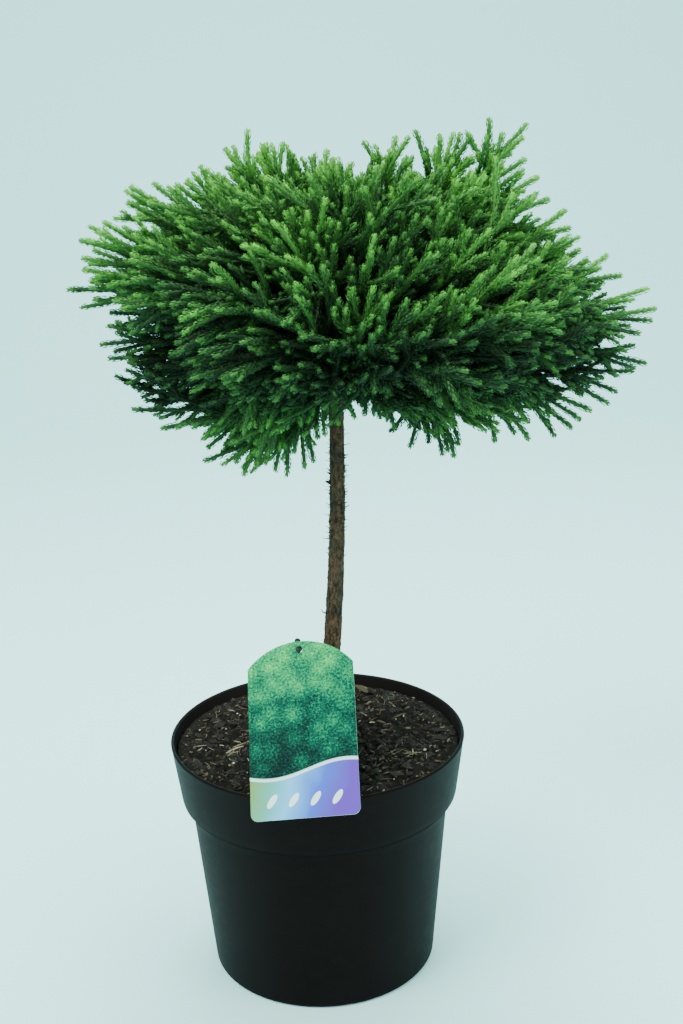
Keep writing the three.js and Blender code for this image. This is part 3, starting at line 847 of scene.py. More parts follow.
def soil_crumbs(rng, m, level):
    """Crumbs on the soil: stretched octahedra with uneven corners. Returns points, polygons and each one's
    kind."""
    radius = CRUMB_REACH * np.sqrt(rng.random(m))
    turn = random_turns(rng, m)
    x, y = radius * np.cos(turn), radius * np.sin(turn)
    size = 0.0009 + 0.0042 * rng.random(m) ** 4
    corners = np.array([[1, 0, 0], [0, 1, 0], [-1, 0, 0], [0, -1, 0], [0, 0, 1], [0, 0, -1]], dtype=float)
    facets = np.array([
        [0, 1, 4], [1, 2, 4], [2, 3, 4], [3, 0, 4],
        [1, 0, 5], [2, 1, 5], [3, 2, 5], [0, 3, 5],
    ])
    squash = np.stack([least + spread * rng.random(m) for least, spread in CRUMB_SQUASH], axis=-1)
    shape = corners[None] * squash[:, None] * size[:, None, None] * (0.75 + 0.5 * rng.random((m, 6, 1)))
    spin = random_turns(rng, m)
    c, s = np.cos(spin)[:, None], np.sin(spin)[:, None]
    a, b, rise = shape[..., 0], shape[..., 1], shape[..., 2]
    turned = np.stack([c * a - s * b, s * a + c * b, rise], axis=-1)
    places = np.stack([x, y, soil_height(x, y, level) + size * 0.15], axis=-1)
    faces = (facets[None] + (np.arange(m) * len(corners))[:, None, None]).reshape(-1, 3)
    kind = np.where(size < 0.0016, rng.choice([CRUMB, CHIP, GRIT], m, p=[0.85, 0.12, 0.03]), CRUMB)
    return (turned + places[:, None]).reshape(-1, 3), [faces], [np.repeat(kind, len(facets))]


class CEDAR_OT_soil(bpy.types.Operator):
    """Make the potting mix with its crumbs, straw fibres and chips"""

    bl_idname = "cedar.soil"
    bl_label = "Soil"

    def execute(self, context):
        settings = context.scene.cedar_soil
        level = settings.level
        rng = np.random.default_rng(SOIL_SEED)
        profile = np.vstack([SOIL_SIDE, np.linspace([0.1278, level], [0.0008, level], SOIL_ROWS)])
        points, polygons = turned_surface(profile, SOIL_SIDES)
        loose = points[:, 2] > level - 1e-6
        points[loose, 2] = soil_height(points[loose, 0], points[loose, 1], level)
        mesh = fill_mesh("potting_mix", points, polygons)
        place_piece(mesh, [soil_material(settings)], "soil", "soil")

        *fibres, fibre_kinds = soil_fibres(rng, settings.fibres, level)
        *crumbs, crumb_kinds = soil_crumbs(rng, settings.crumbs, level)
        kinds = np.concatenate(fibre_kinds + crumb_kinds)
        mesh = fill_mesh("soil_bits", *joined([fibres, crumbs]), slots=kinds, smooth_faces=False)
        place_piece(mesh, [plain_material(*kind) for kind in BIT_KINDS], "soil")
        return {"FINISHED"}


# ---------------------------------------------------------------- stem and boughs


def bark_strips(points, middles, scale, relief, seed):
    """Relief of fibrous bark as a distance outwards: ridged noise stretched along the limb, so that it lies
    in long narrow strips, with finer fibres on it."""
    local = (points - middles) / scale
    height = points[..., 2:] / scale
    place = np.concatenate([local[..., :2], height * 0.16], axis=-1)
    wide = 1 - 2 * np.abs(ripple(place, 0.9, seed, waves=9))
    fine = ripple(place * [1, 1, 0.6], 0.33, seed + 1, waves=9)
    flakes = ripple(np.concatenate([local[..., :2], height], axis=-1), 0.55, seed + 2, waves=11)
    return relief * (0.5 * wide + 0.3 * fine + 0.55 * flakes)


def stem_surface(relief):
    """The stem from its level foot to its tip: rings square to the height, pushed out by the bark's
    strips."""
    heights = np.linspace(STEM_FOOT[2], STEM_TIP[2], STEM_RINGS)
    angle = even_turns(STEM_SIDES)
    ring = raised(circle(angle), 0.0)
    middles = stem_line(heights)[:, None]
    roots = 1 + 0.16 * np.cos(5 * angle + 0.8) * smooth(1 - (heights[:, None] - STEM_FOOT[2]) / 0.022)
    even = middles + ring * (stem_radius(heights)[:, None] * roots)[..., None]
    points = even + ring * bark_strips(even, middles, 0.0085, relief, seed=5)[..., None]
    points[0, :, 2] = STEM_FOOT[2]
    corner = np.arange(STEM_SIDES)[None]
    caps = [corner[:, ::-1], (STEM_RINGS - 1) * STEM_SIDES + corner]
    return points.reshape(-1, 3), [grid_quads(STEM_RINGS, STEM_SIDES), *caps]


# The single larger stubs: height, length, thickness and direction.
LARGE_STUBS = (
    (0.338, 0.0075, 0.0009, -0.93, -0.36),
    (0.459, 0.0042, 0.0021, -0.98, -0.2),
    (0.424, 0.0036, 0.0015, -0.85, -0.5),
)


def stem_stubs(rng):
    """Dead stubs and hairs on the stem: thin bent tapering tubes that leave the bark and turn upwards,
    thickest in a band below the crown, and one short dead twig lower down."""
    many, few = 230, 40
    heights = np.concatenate([0.385 + 0.125 * rng.beta(2.2, 1.8, many), 0.24 + 0.27 * rng.random(few)])
    n = len(heights)
    out = raised(circle(random_turns(rng, n)), 0.0)
    long = 0.0018 + 0.0036 * rng.random(n) ** 1.5
    thick = 0.00034 + 0.00032 * rng.random(n)
    heights[:3], long[:3], thick[:3] = np.array(LARGE_STUBS)[:, :3].T
    out[:3, :2] = np.array(LARGE_STUBS)[:, 3:]
    foot = stem_line(heights) + out * (stem_radius(heights) * 0.92)[:, None]
    rise = 0.3 + 0.9 * rng.random(n)
    rise[0] = 2.4
    bent = unit(out + np.stack([0.4 * rng.normal(size=n), 0.4 * rng.normal(size=n), rise], axis=-1))
    pull = foot + out * (long * 0.5)[:, None]
    tip = pull + bent * (long * 0.7)[:, None]
    t = np.linspace(0, 1, 5)
    return tubes(curves(foot, pull, tip, t), thick[:, None] * (1 - 0.7 * t), 5)


def bough_lines(middles, heights):
    """End points and pull points of the boughs: each leaves the stem's middle, bows up and runs to its
    mass."""
    foot = stem_line(heights)
    end = mix(foot, middles, 0.62)
    return foot, mix(foot, end, 0.5) + [0, 0, 0.012], end


def bough_surface(middles, heights):
    """The boughs: tapering tubes with a collar at the stem, slow swellings and an uneven skin."""
    t = np.linspace(0, 1, BOUGH_STATIONS)
    paths = curves(*bough_lines(middles, heights), t)
    radii = mix(*BOUGH_GIRTH, t) + BOUGH_COLLAR * (1 - smooth(t / 0.12))
    swelling = 1 + 0.08 * np.sin(t * 37 + heights[:, None] * 900)
    points, polygons = tubes(paths, radii * swelling, BOUGH_SIDES)
    out = unit(points - np.repeat(paths.reshape(-1, 3), BOUGH_SIDES, axis=0))
    run = np.tile(np.repeat(t, BOUGH_SIDES), len(heights))[:, None] * 3
    return points + out * (0.0004 * ripple(out * 0.7 + run, 0.7, seed=8, waves=11))[:, None], polygons


class CEDAR_OT_bark(bpy.types.Operator):
    """Make the stem and the boughs with the relief of their bark"""

    bl_idname = "cedar.bark"
    bl_label = "Stem and boughs"

    def execute(self, context):
        settings = context.scene.cedar_bark
        bark = bark_material(settings)
        place_piece(fill_mesh("stem_bark", *stem_surface(settings.relief)), [bark], "bark", "trunk")
        stubs = stem_stubs(np.random.default_rng(STUB_SEED))
        place_piece(fill_mesh("stem_stubs", *stubs), [twig_material()], "bark")
        names, middles, heights = mass_middles()
        boughs = fill_mesh("bough_bark", *bough_surface(middles, heights))
        place_piece(boughs, [bark], "bark", *(f"bough_{name}" for name in names))
        return {"FINISHED"}


# ---------------------------------------------------------------- crown

# Leading sprigs on the crown's outline, in mm: the x and z of their tip, the x and z of a lower point that
# they pass, the y of their tip, and how much lighter or darker than their neighbours they are, in tenths of a
# step on the ladder of greens.
LEADERS = (
    (-39, 756, -44, 725, 10, 6), (-58, 742, -45, 727, 0, 6), (-25, 744, -22, 717, 20, 8),
    (-11, 745, -20, 714, 10, 8), (-3, 737, -10, 717, -10, -8), (25, 737, 18, 709, 30, 12),
    (32, 726, 38, 706, 10, 6), (11, 731, 17, 712, 40, 2), (-78, 730, -67, 706, -10, 4),
    (-90, 718, -76, 700, 10, 6), (-72, 719, -60, 700, 30, 0), (-136, 715, -116, 701, 0, 2),
    (-137, 704, -120, 695, -20, -4), (-97, 718, -76, 701, -30, 6), (-119, 715, -101, 702, 20, 2),
    (55, 743, 73, 724, 20, 2), (91, 747, 70, 720, 0, 4), (82, 746, 78, 723, 30, 8),
    (96, 752, 114, 716, 0, -10), (114, 749, 118, 720, -20, 6), (129, 748, 122, 721, 20, 6),
    (140, 747, 122, 719, -10, -12), (134, 748, 125, 715, 10, -8), (141, 732, 123, 717, -20, 4),
    (156, 760, 159, 726, 0, -2), (187, 755, 147, 712, 0, -8), (167, 748, 163, 724, 0, -4),
    (182, 745, 159, 726, -10, -2), (187, 726, 164, 714, 10, 2), (181, 720, 164, 709, -20, 2),
    (196, 712, 175, 703, 0, 4), (207, 693, 186, 689, 10, -4), (219, 685, 201, 670, 0, 4),
    (225, 669, 199, 666, 10, 0), (208, 665, 201, 650, -10, -4), (232, 652, 209, 641, 0, 4),
    (255, 647, 229, 627, 0, 4), (245, 640, 222, 626, -20, 2), (269, 628, 242, 627, 10, -4),
    (290, 618, 248, 605, 0, 8), (297, 601, 255, 594, 0, 2), (296, 589, 256, 594, 10, 0),
    (282, 582, 249, 589, -10, 2), (280, 583, 249, 587, 20, -4), (280, 570, 244, 564, 0, -2),
    (290, 554, 254, 565, 0, 2), (285, 546, 258, 559, 20, 0), (279, 548, 241, 548, 0, -2),
    (268, 528, 227, 548, 10, -4), (259, 520, 220, 547, 0, -4), (235, 507, 200, 534, 0, 0),
    (238, 522, 214, 533, -30, 2), (224, 505, 195, 532, -20, 2), (213, 493, 197, 527, 0, -6),
    (188, 496, 166, 533, -20, 2), (180, 494, 167, 523, 10, -6), (195, 499, 182, 525, 30, -4),
    (160, 493, 160, 525, -10, -4), (146, 506, 133, 530, 0, -8), (140, 508, 129, 529, 20, -4),
    (123, 486, 120, 522, -30, 2), (120, 486, 116, 519, -10, -2), (116, 480, 114, 518, 0, -6),
    (128, 494, 126, 522, -20, 0), (105, 489, 109, 520, 10, -8), (108, 503, 109, 528, -30, 0),
    (88, 488, 106, 522, 0, -2), (72, 500, 101, 520, 10, -2), (64, 510, 63, 538, 20, -6),
    (58, 521, 62, 542, 0, -4), (49, 521, 58, 544, -10, -4), (26, 523, 19, 552, -50, 12),
    (15, 512, 12, 536, -40, 2), (9, 507, 5, 528, -30, 2), (5, 478, -4, 512, 0, 0), (-2, 498, -5, 523, 20, -4),
    (-12, 492, -6, 518, -20, 2), (-17, 484, -22, 514, 10, -4), (-28, 471, -24, 505, 0, 0),
    (-36, 486, -30, 512, -30, 6), (-44, 479, -35, 505, -10, 2), (-56, 468, -41, 504, 0, 2),
    (-63, 474, -47, 505, 20, -2), (-89, 482, -53, 492, 0, 0), (-75, 481, -51, 498, 30, -6),
    (-87, 488, -61, 511, 20, -6), (-87, 504, -72, 524, 0, 2), (-124, 512, -79, 519, 0, -2),
    (-112, 527, -91, 537, -10, 0), (-129, 526, -99, 537, 20, -6), (-139, 540, -101, 552, 0, -6),
    (-137, 535, -102, 533, 10, -6), (-150, 552, -120, 566, 0, 6), (-164, 574, -121, 575, 0, 0),
    (-141, 574, -120, 577, -30, 2), (-160, 578, -134, 586, 10, -2), (-170, 586, -130, 590, 0, 0),
    (-153, 600, -138, 588, -20, -2), (-143, 606, -117, 612, -30, 2), (-161, 611, -134, 611, 10, -6),
    (-173, 624, -138, 623, 0, -4), (-194, 633, -149, 633, 0, 0), (-176, 638, -145, 634, 20, -2),
    (-177, 652, -147, 646, -20, 6), (-181, 657, -150, 652, 10, 8), (-180, 673, -151, 665, 0, 0),
    (-174, 661, -148, 653, 30, 2), (-163, 682, -140, 669, -20, 6), (-161, 686, -140, 673, 10, 4),
    (-135, 690, -116, 684, 30, 2),
)

# The ladder of needle greens from the deepest to the newest, two bluish shaded copies of the mid and fresh
# greens for the crown's underside, and a dry one. The steps carry the needles' own greens, lighter in new
# growth, and painted light and shade as well: low steps for painted shade deep in and under the crown, high
# ones for painted light on its lit top and sides.
LADDER = (
    ("needle_black", (0.0085, 0.0205, 0.0085)),
    ("needle_deep", (0.0155, 0.0435, 0.0155)),
    ("needle_dark", (0.0235, 0.078, 0.021)),
    ("needle_mid", (0.039, 0.134, 0.028)),
    ("needle_fresh", (0.058, 0.208, 0.037)),
    ("needle_light", (0.081, 0.288, 0.04)),
    ("needle_lime", (0.128, 0.405, 0.055)),
    ("needle_shade", (0.038, 0.104, 0.03)),
    ("needle_pale_shade", (0.06, 0.168, 0.043)),
    ("needle_dry", (0.07, 0.04, 0.016)),
)
MID, FRESH, LIGHT, LIME, SHADE, PALE_SHADE, DRY = range(3, 10)

# The corners of a needle's two facets: root, left, right and point.
NEEDLE_FACETS = np.array([[0, 2, 1], [1, 2, 3]])


def spread_out(candidates, count, taken):
    """count of the candidates, each the one furthest from all that were taken before it."""
    chosen = np.empty(count, dtype=int)
    nearest = np.full(len(candidates), np.inf)
    for place in taken:
        nearest = np.minimum(nearest, np.linalg.norm(candidates - place, axis=1))
    for i in range(count):
        chosen[i] = int(nearest.argmax())
        nearest = np.minimum(nearest, np.linalg.norm(candidates - candidates[chosen[i]], axis=1))
    return candidates[chosen]


def shell_places(rng, n, depth):
    """Seeded places on the crown's top, shoulders and underside, shrunk towards its middle by depth."""
    azimuth = random_turns(rng, n)
    share = np.where(rng.random(n) < 0.6, np.sqrt(rng.random(n)), 1 - 0.2 * rng.random(n) ** 1.5)
    share = share.clip(0.1, 1)
    dx, dy = np.cos(azimuth), np.sin(azimuth)
    side, face = crown_reach(dx, dy)
    x, y = CROWN_MIDDLE[0] + dx * share * side, CROWN_MIDDLE[1] + dy * share * face
    inside, top, underside = crown_at(x, y)
    z = np.where(rng.random(n) < 0.5, top, underside)
    places = np.stack([x, y, z], axis=-1)[(inside <= 1) & (top > underside)]
    return mix(places, CROWN_MIDDLE + [0, 0, 0.012], depth)


def crown_level(points):
    """How high each point stands between the crown's underside, 0, and its top, 1, how far it lies inwards
    from the crown's surface, and its share of the reach."""
    share, top, underside = crown_at(points[:, 0], points[:, 1])
    level = np.clip((points[:, 2] - underside) / np.maximum(top - underside, 1e-3), 0, 1)
    return level, np.minimum(top - points[:, 2], (1 - share) * 0.24), share


def spray_lines(rng, tips, wander):
    """Main axes of the sprays as (foot, pull, tip). Each heads out from the crown's heart, swept sideways, up
    near the top and the middle, and down near the underside, with a seeded turn; inwards it bends towards the
    heart."""
    x, y = tips[:, 0], tips[:, 1]
    level, _, share = crown_level(tips)
    outward = tips - heart_of(tips)
    radial = unit(outward)
    right, left, central = ease(x, 0.02, 0.12), ease(x, 0.05, -0.09), bell(x, 0.06, 0.1)
    heading = radial + rng.normal(0, 1, tips.shape) * (wander * mix(1, 0.7, left))[:, None]
    heading += 0.42 * np.stack([ripple(tips, 0.13, seed) for seed in SWAY_SEEDS], axis=-1)
    heading[:, 1] *= np.where(y < 0, 0.5, 0.7)
    heading[:, 0] += 0.25 * right - 0.55 * left
    heading[:, 2] += 0.25 * ease(level, 0.4, 0.6) + 0.45 * central * ease(level, 0.3, 0.3)
    heading[:, 2] -= mix(0.35, 0.85, right) * (1 - smooth(level / 0.34)) * mix(share, 1, central)
    heading[:, 2] -= 0.38 * ease(x, 0.02, -0.08) * (1 - ease(level, 0.55, 0.35))
    heading = unit(heading)
    long = np.minimum(0.105, 0.6 * np.linalg.norm(outward, axis=1)) * (0.85 + 0.3 * rng.random(len(tips)))
    early = unit(radial + 0.35 * heading + rng.normal(0, 0.08, tips.shape))
    pull = tips - heading * (0.52 * long)[:, None]
    return (pull - early * (0.48 * long)[:, None], pull, tips), long


def run_of(lines):
    """The lengths of axes, from foot over pull point to tip."""
    foot, pull, tip = lines
    return np.linalg.norm(pull - foot, axis=1) + np.linalg.norm(tip - pull, axis=1)


def leader_lines():
    """Axes of the leading sprigs, each from a foot nearer the heart through its lower point to its tip, with
    how much lighter or darker they are."""
    x, z, low_x, low_z, y, lift = np.array(LEADERS, dtype=float).T
    tip = np.stack([x, y, z], axis=-1) / 1000
    low = np.stack([low_x, y * 0.6, low_z], axis=-1) / 1000
    foot = low + unit(1.1 * unit(heart_of(low) - low) + unit(low - tip)) * 0.05
    return (foot, low, tip), lift / 10


def fringe(rng, leaders, count):
    """Sprigs that stand in front of each leading one and behind it: the same line, moved along a line from
    the front, turned a little and cut shorter."""
    foot, pull, tip = (np.repeat(part, count, axis=0) for part in leaders)
    n = len(tip)
    sparse = np.maximum(ease(tip[:, 0], 0.08, 0.1), ease(tip[:, 2], 0.69, 0.03))
    back = (0.018 + 0.034 * rng.random(n)) * mix(1, 1.4, sparse)
    away = rng.normal(0, 0.004, (n, 3))
    away = away + (tip - FRONT_POINT) / 1.25 * rng.normal(0, 0.04, (n, 1)).clip(-0.055, 0.055)
    turned = unit(tip - pull + rng.normal(0, 0.006, (n, 3)))
    end = tip + away - turned * back[:, None]
    middle = end - turned * 0.035
    return (middle + unit(foot - pull) * 0.045, middle, end), np.full(n, 0.08)


def main_axes(rng, settings):
    """All main axes: the leading sprigs with their fringe, sprays over the crown's surface and inner ones.
    Returns their lines, lengths, lightness and kinds."""
    leaders, lift = leader_lines()
    leader_long = run_of(leaders)
    beside, beside_long = fringe(rng, leaders, FRINGE)
    tips = spread_out(shell_places(rng, SURFACE_PLACES, 0.0), settings.sprays, leaders[2])
    deeper = mix(0.036, 0.012, smooth(crown_level(tips)[0] / 0.4))
    deeper = deeper * (1 - ease(np.abs(tips[:, 1]), 0.13, 0.05))
    hollows = 0.011 * (1 + ripple(tips, 0.085, HOLLOW_SEED))
    inwards = (deeper + hollows + rng.random(len(tips)) ** 0.9 * 0.022)[:, None]
    outer, outer_long = spray_lines(rng, tips - unit(tips - heart_of(tips)) * inwards, 0.26)
    deep = spread_out(shell_places(rng, INNER_PLACES, 0.32), settings.inner_sprays, [CROWN_MIDDLE])
    inner, inner_long = spray_lines(rng, deep, 0.3)
    axes = tuple(np.concatenate(parts) for parts in zip(leaders, beside, outer, inner))
    groups = (leader_long, beside_long, outer_long, inner_long)
    kind = np.repeat([LEADING, LEADING, SURFACE, INNER], [len(group) for group in groups])
    beside_lift = np.repeat(lift, FRINGE) * 0.5 - 0.3
    # Outer sprays differ in lightness at random; the inner sprays are 1.1 steps darker, painted shade inside
    # the crown.
    outer_lift, inner_shade_lift = rng.normal(0, 0.55, len(outer_long)), np.full(len(inner_long), -1.1)
    return axes, np.concatenate(groups), np.concatenate([lift, beside_lift, outer_lift, inner_shade_lift]), kind


def side_shoots(rng, lines, long, first, last, spacing, lengths, opening, closing, flatness):
    """Shoots that leave given axes in turn by the golden angle, between the shares first and last of their
    run. Each starts at `opening` to its axis and bends to `closing`; its length, from lengths' least to its
    most, grows with its distance from the axis's tip. Returns the shoots' lines, their lengths and the number
    of the axis that each grows from."""
    least, growth, most = lengths
    first, last, growth, opening, closing, flatness = (
        np.broadcast_to(value, len(long)) for value in (first, last, growth, opening, closing, flatness)
    )
    number = np.maximum(0, np.round(long * (last - first) / spacing)).astype(int)
    owner, order = dealt(number)
    n = len(owner)
    share = first[owner] + (last - first)[owner] * (order + 0.2 + 0.6 * rng.random(n)) / number[owner]
    start, tangent, across, up = along(lines, owner, share)
    turn = order * GOLDEN_ANGLE + random_turns(rng, len(long))[owner] + rng.normal(0, 0.3, n)
    away = unit(np.cos(turn)[:, None] * across + (flatness[owner] * np.sin(turn))[:, None] * up)
    left = (1 - share) * long[owner]
    size = np.clip(least + growth[owner] * left, least, most) * (0.7 + 0.5 * rng.random(n))
    wide = opening[owner] + rng.normal(0, 0.16, n)
    narrow = closing[owner] + rng.normal(0, 0.2, n)
    mid = start + between(tangent, away, wide, 0.4 * size)
    return (start, mid, mid + between(tangent, away, narrow, 0.6 * size)), size, owner


def needles_on(rng, lines, covered, number, girth, settings):
    """Needles along shoots, by the golden angle. Each is an awl of two facets: it leaves the shoot at a wide
    angle to its widest place and bends in again to its point. Near the shoot's tip they shorten and close to
    a blunt bud. Returns the corners as (needles, 4, 3), each needle's shoot, its distance from the shoot's
    tip and how far it points up."""
    owner, order = dealt(number)
    n = len(owner)
    run = (order + rng.random(n)) / number[owner]
    share = 1 - covered[owner] * (1 - run**0.93)
    left = (1 - share) * run_of(lines)[owner]
    centre, tangent, across, up = along(lines, owner, share)
    turn = order * GOLDEN_ANGLE + rng.normal(0, 0.15, n)
    out = np.cos(turn)[:, None] * across + np.sin(turn)[:, None] * up
    mature = smooth(left / 0.005)
    size = settings.needle_length * mix(0.5, 1.0, mature) * (0.85 + 0.3 * rng.random(n)) * girth[owner]
    spread = np.radians(mix(*NEEDLE_SPREAD, mature) + rng.normal(0, 4, n))
    close = np.radians(mix(*NEEDLE_CLOSE, mature) + rng.normal(0, 4, n))
    root = centre + out * (NEEDLE_SEAT * girth[owner])[:, None]
    sideways = np.cross(tangent, out) * (settings.needle_width * 0.5 * mix(1.1, 1.0, mature))[:, None]
    widest = root + between(tangent, out, spread, 0.42 * size)
    point = widest + between(tangent, out, close, 0.58 * size)
    return np.stack([root, widest - sideways, widest + sideways, point], axis=1), owner, left, out[:, 2]


def tones(rng, lines, spray, shoot, left, rise, lift, kind, roots):
    """Each needle's step on the ladder of greens, and each shoot's own: dealt by spray and shoot, lighter at
    the tips of new growth, and with painted light and shade: lighter on a shoot's upper side, towards the
    top, on the left and in lit patches, darker deeper in the crown and in a band below its middle, and bluish
    below."""
    ends = lines[2]
    x, y, z = ends.T
    level, depth, _ = crown_level(ends)
    leftish = ease(x, 0.08, -0.2)
    # Painted light and shade: lighter towards the crown's top and on the left, where the light falls, and
    # darker deeper inside the crown.
    base = 3.15 + lift[spray] + rng.normal(0, 0.3, len(ends)) + mix(1.9, 1.2, leftish) * (level - 0.5)
    base = base + 0.25 * leftish - 1.3 * ease(depth, 0.012, 0.06)
    # seen: the height on the plane y = 0 at which a spray's end lies as seen from the front point, with the
    # back half mirrored to the front.
    seen = FRONT_POINT[2] - (FRONT_POINT[2] - z) * FRONT_POINT[1] / (FRONT_POINT[1] + np.abs(y))
    # Painted shade in a band below the crown's middle, front and back alike, deepest in a hollow near x =
    # 0.055; painted light on the upper right, the upper left and the lower right.
    low_shade_band = bell(seen, 0.565, 0.034)
    hollow_shade = bell(x, 0.055, 0.07) * low_shade_band
    lit_upper_right = ease(x, 0.06, 0.08) * ease(z, 0.6, 0.07)
    lit_upper_left = ease(x, 0.03, -0.08) * ease(z, 0.655, 0.04)
    lower_right = ease(x, 0.12, 0.06) * (1 - ease(level, 0.4, 0.2))
    base = base - 1.0 * low_shade_band - 1.2 * hollow_shade + 0.95 * lit_upper_right + 0.6 * lit_upper_left + 0.6 * lower_right
    # Painted light: the sprigs that hang lowest on the crown, as seen from the front point, are lighter.
    base = base + mix(1.5, 2.2, leftish) * ease(seen, 0.534, -0.028)
    # Tips of new growth are lighter, by a gain that varies by region as painted light and is small on the
    # inner sprays as painted shade.
    tip_gain = mix(mix(1.1, 1.6, leftish), 1.45, level) * np.where(kind[spray] == INNER, 0.3, 1.0)
    tip_gain = tip_gain - 0.3 * lit_upper_right + 0.5 * lower_right
    at_tip = 0.65 * smooth(1 - left / 0.0075) + 0.35 * smooth(1 - left / 0.02)
    value = base[shoot] + tip_gain[shoot] * at_tip
    # Painted shade: needles whose roots lie deeper in the crown are darker, and so are those far from a
    # shoot's tip, partly older growth and partly painted shade in the gaps, most on the left and the lower
    # right.
    buried_shade = ease(crown_level(roots)[1], 0.014, 0.045)
    side = np.maximum(leftish, lower_right)[shoot]
    value = value - mix(0.8, 1.5, side) * ease(left, 0.012, 0.035) - mix(0.3, 1.1, side) * buried_shade
    # Painted light and shade on each shoot: needles that point up are lighter, those that point down darker.
    value = value + 0.75 * rise + rng.normal(0, 0.16, len(shoot))
    step = np.clip(np.round(value), 0, LIME).astype(int)
    # Painted shade: low in the crown, six in ten mid and fresh needles take their darker bluish shaded
    # copies.
    low = (level[shoot] < 0.36) & (rng.random(len(shoot)) < 0.6)
    step = np.where(low & (step == MID), SHADE, np.where(low & (step == FRESH), PALE_SHADE, step))
    step = np.where((left > 0.035) & (rng.random(len(shoot)) < 0.02), DRY, step)
    stem = np.clip(np.round(base - 0.9), 0, LIGHT).astype(int)
    bud = np.clip(np.round(base + tip_gain * 0.8), 0, LIME).astype(int)
    return step, np.stack([stem, stem, bud], axis=-1)


def place_needles(names, mass, corners, tone, materials):
    """One mesh of needles for each foliage mass, in place of its CAD solid."""
    for i, name in enumerate(names):
        own = mass == i
        faces = (NEEDLE_FACETS[None] + (np.arange(own.sum()) * 4)[:, None, None]).reshape(-1, 3)
        points, slots = corners[own].reshape(-1, 3), np.repeat(tone[own], len(NEEDLE_FACETS))
        mesh = fill_mesh(f"needles_{name}", points, [faces], slots, smooth_faces=False)
        place_piece(mesh, materials, "foliage", f"foliage_{name}")


def place_shoots(lines, sizes, covered, base, materials):
    """The green shoots under the needles, as thin tapering tubes along their covered part."""
    sides = 3
    back = np.minimum(1, 0.005 / sizes)
    t = np.stack([1 - covered, 1 - (covered + back) / 2, 1 - back, np.full(len(sizes), 1.0)], axis=-1)
    stout = np.interp(sizes, (0.006, 0.03), (0.8, 1))[:, None]
    radii = SHOOT_RADIUS * np.array([0.9, 1.0, 0.95, 0.7]) * stout
    slots = np.concatenate([np.repeat(base, sides, axis=1).ravel(), base[:, 0], base[:, 2]])
    place_piece(fill_mesh("shoots", *tubes(curves(*lines, t), radii, sides), slots), materials, "foliage")


def place_twigs(mass, sprays, middles, heights):
    """The brown limbs and twigs that join every spray to its bough, and run on along the spray: up to six
    limbs leave each bough's end for the middles of its sprays' feet, and a twig leaves them for each foot."""
    bough_foot, _, bough_end = bough_lines(middles, heights)
    limb_t, twig_t = np.linspace(0, 1, 10), np.linspace(0, 1, 6)
    at_limb, at_twig, at_spray, at_end = TWIG_GIRTH
    parts = []
    for i, end in enumerate(bough_end):
        foot, pull, tip = (part[mass == i] for part in sprays)
        knots = spread_out(foot, min(LIMBS, len(foot)), [foot[0]])
        nearest = np.linalg.norm(foot[:, None] - knots[None], axis=-1).argmin(axis=1)
        used, nearest = np.unique(nearest, return_inverse=True)
        knots = np.array([foot[nearest == k].mean(axis=0) for k in range(len(used))])
        knots = mix(knots, end, 0.35)
        leave = end + unit(end - bough_foot[i]) * 0.3 * np.linalg.norm(knots - end, axis=1)[:, None]
        knot = knots[nearest]
        bend = foot - unit(pull - foot) * 0.2 * np.linalg.norm(foot - knot, axis=1)[:, None]
        parts.append(tubes(curves(end[None], leave, knots, limb_t), mix(at_limb, at_twig, limb_t), 6))
        parts.append(tubes(curves(knot, bend, foot, twig_t), mix(at_twig, at_spray, twig_t), 4))
        parts.append(tubes(curves(foot, pull, tip, twig_t * 0.6), mix(at_spray, at_end, twig_t), 4))
    place_piece(fill_mesh("twigs", *joined(parts)), [twig_material()], "bark")


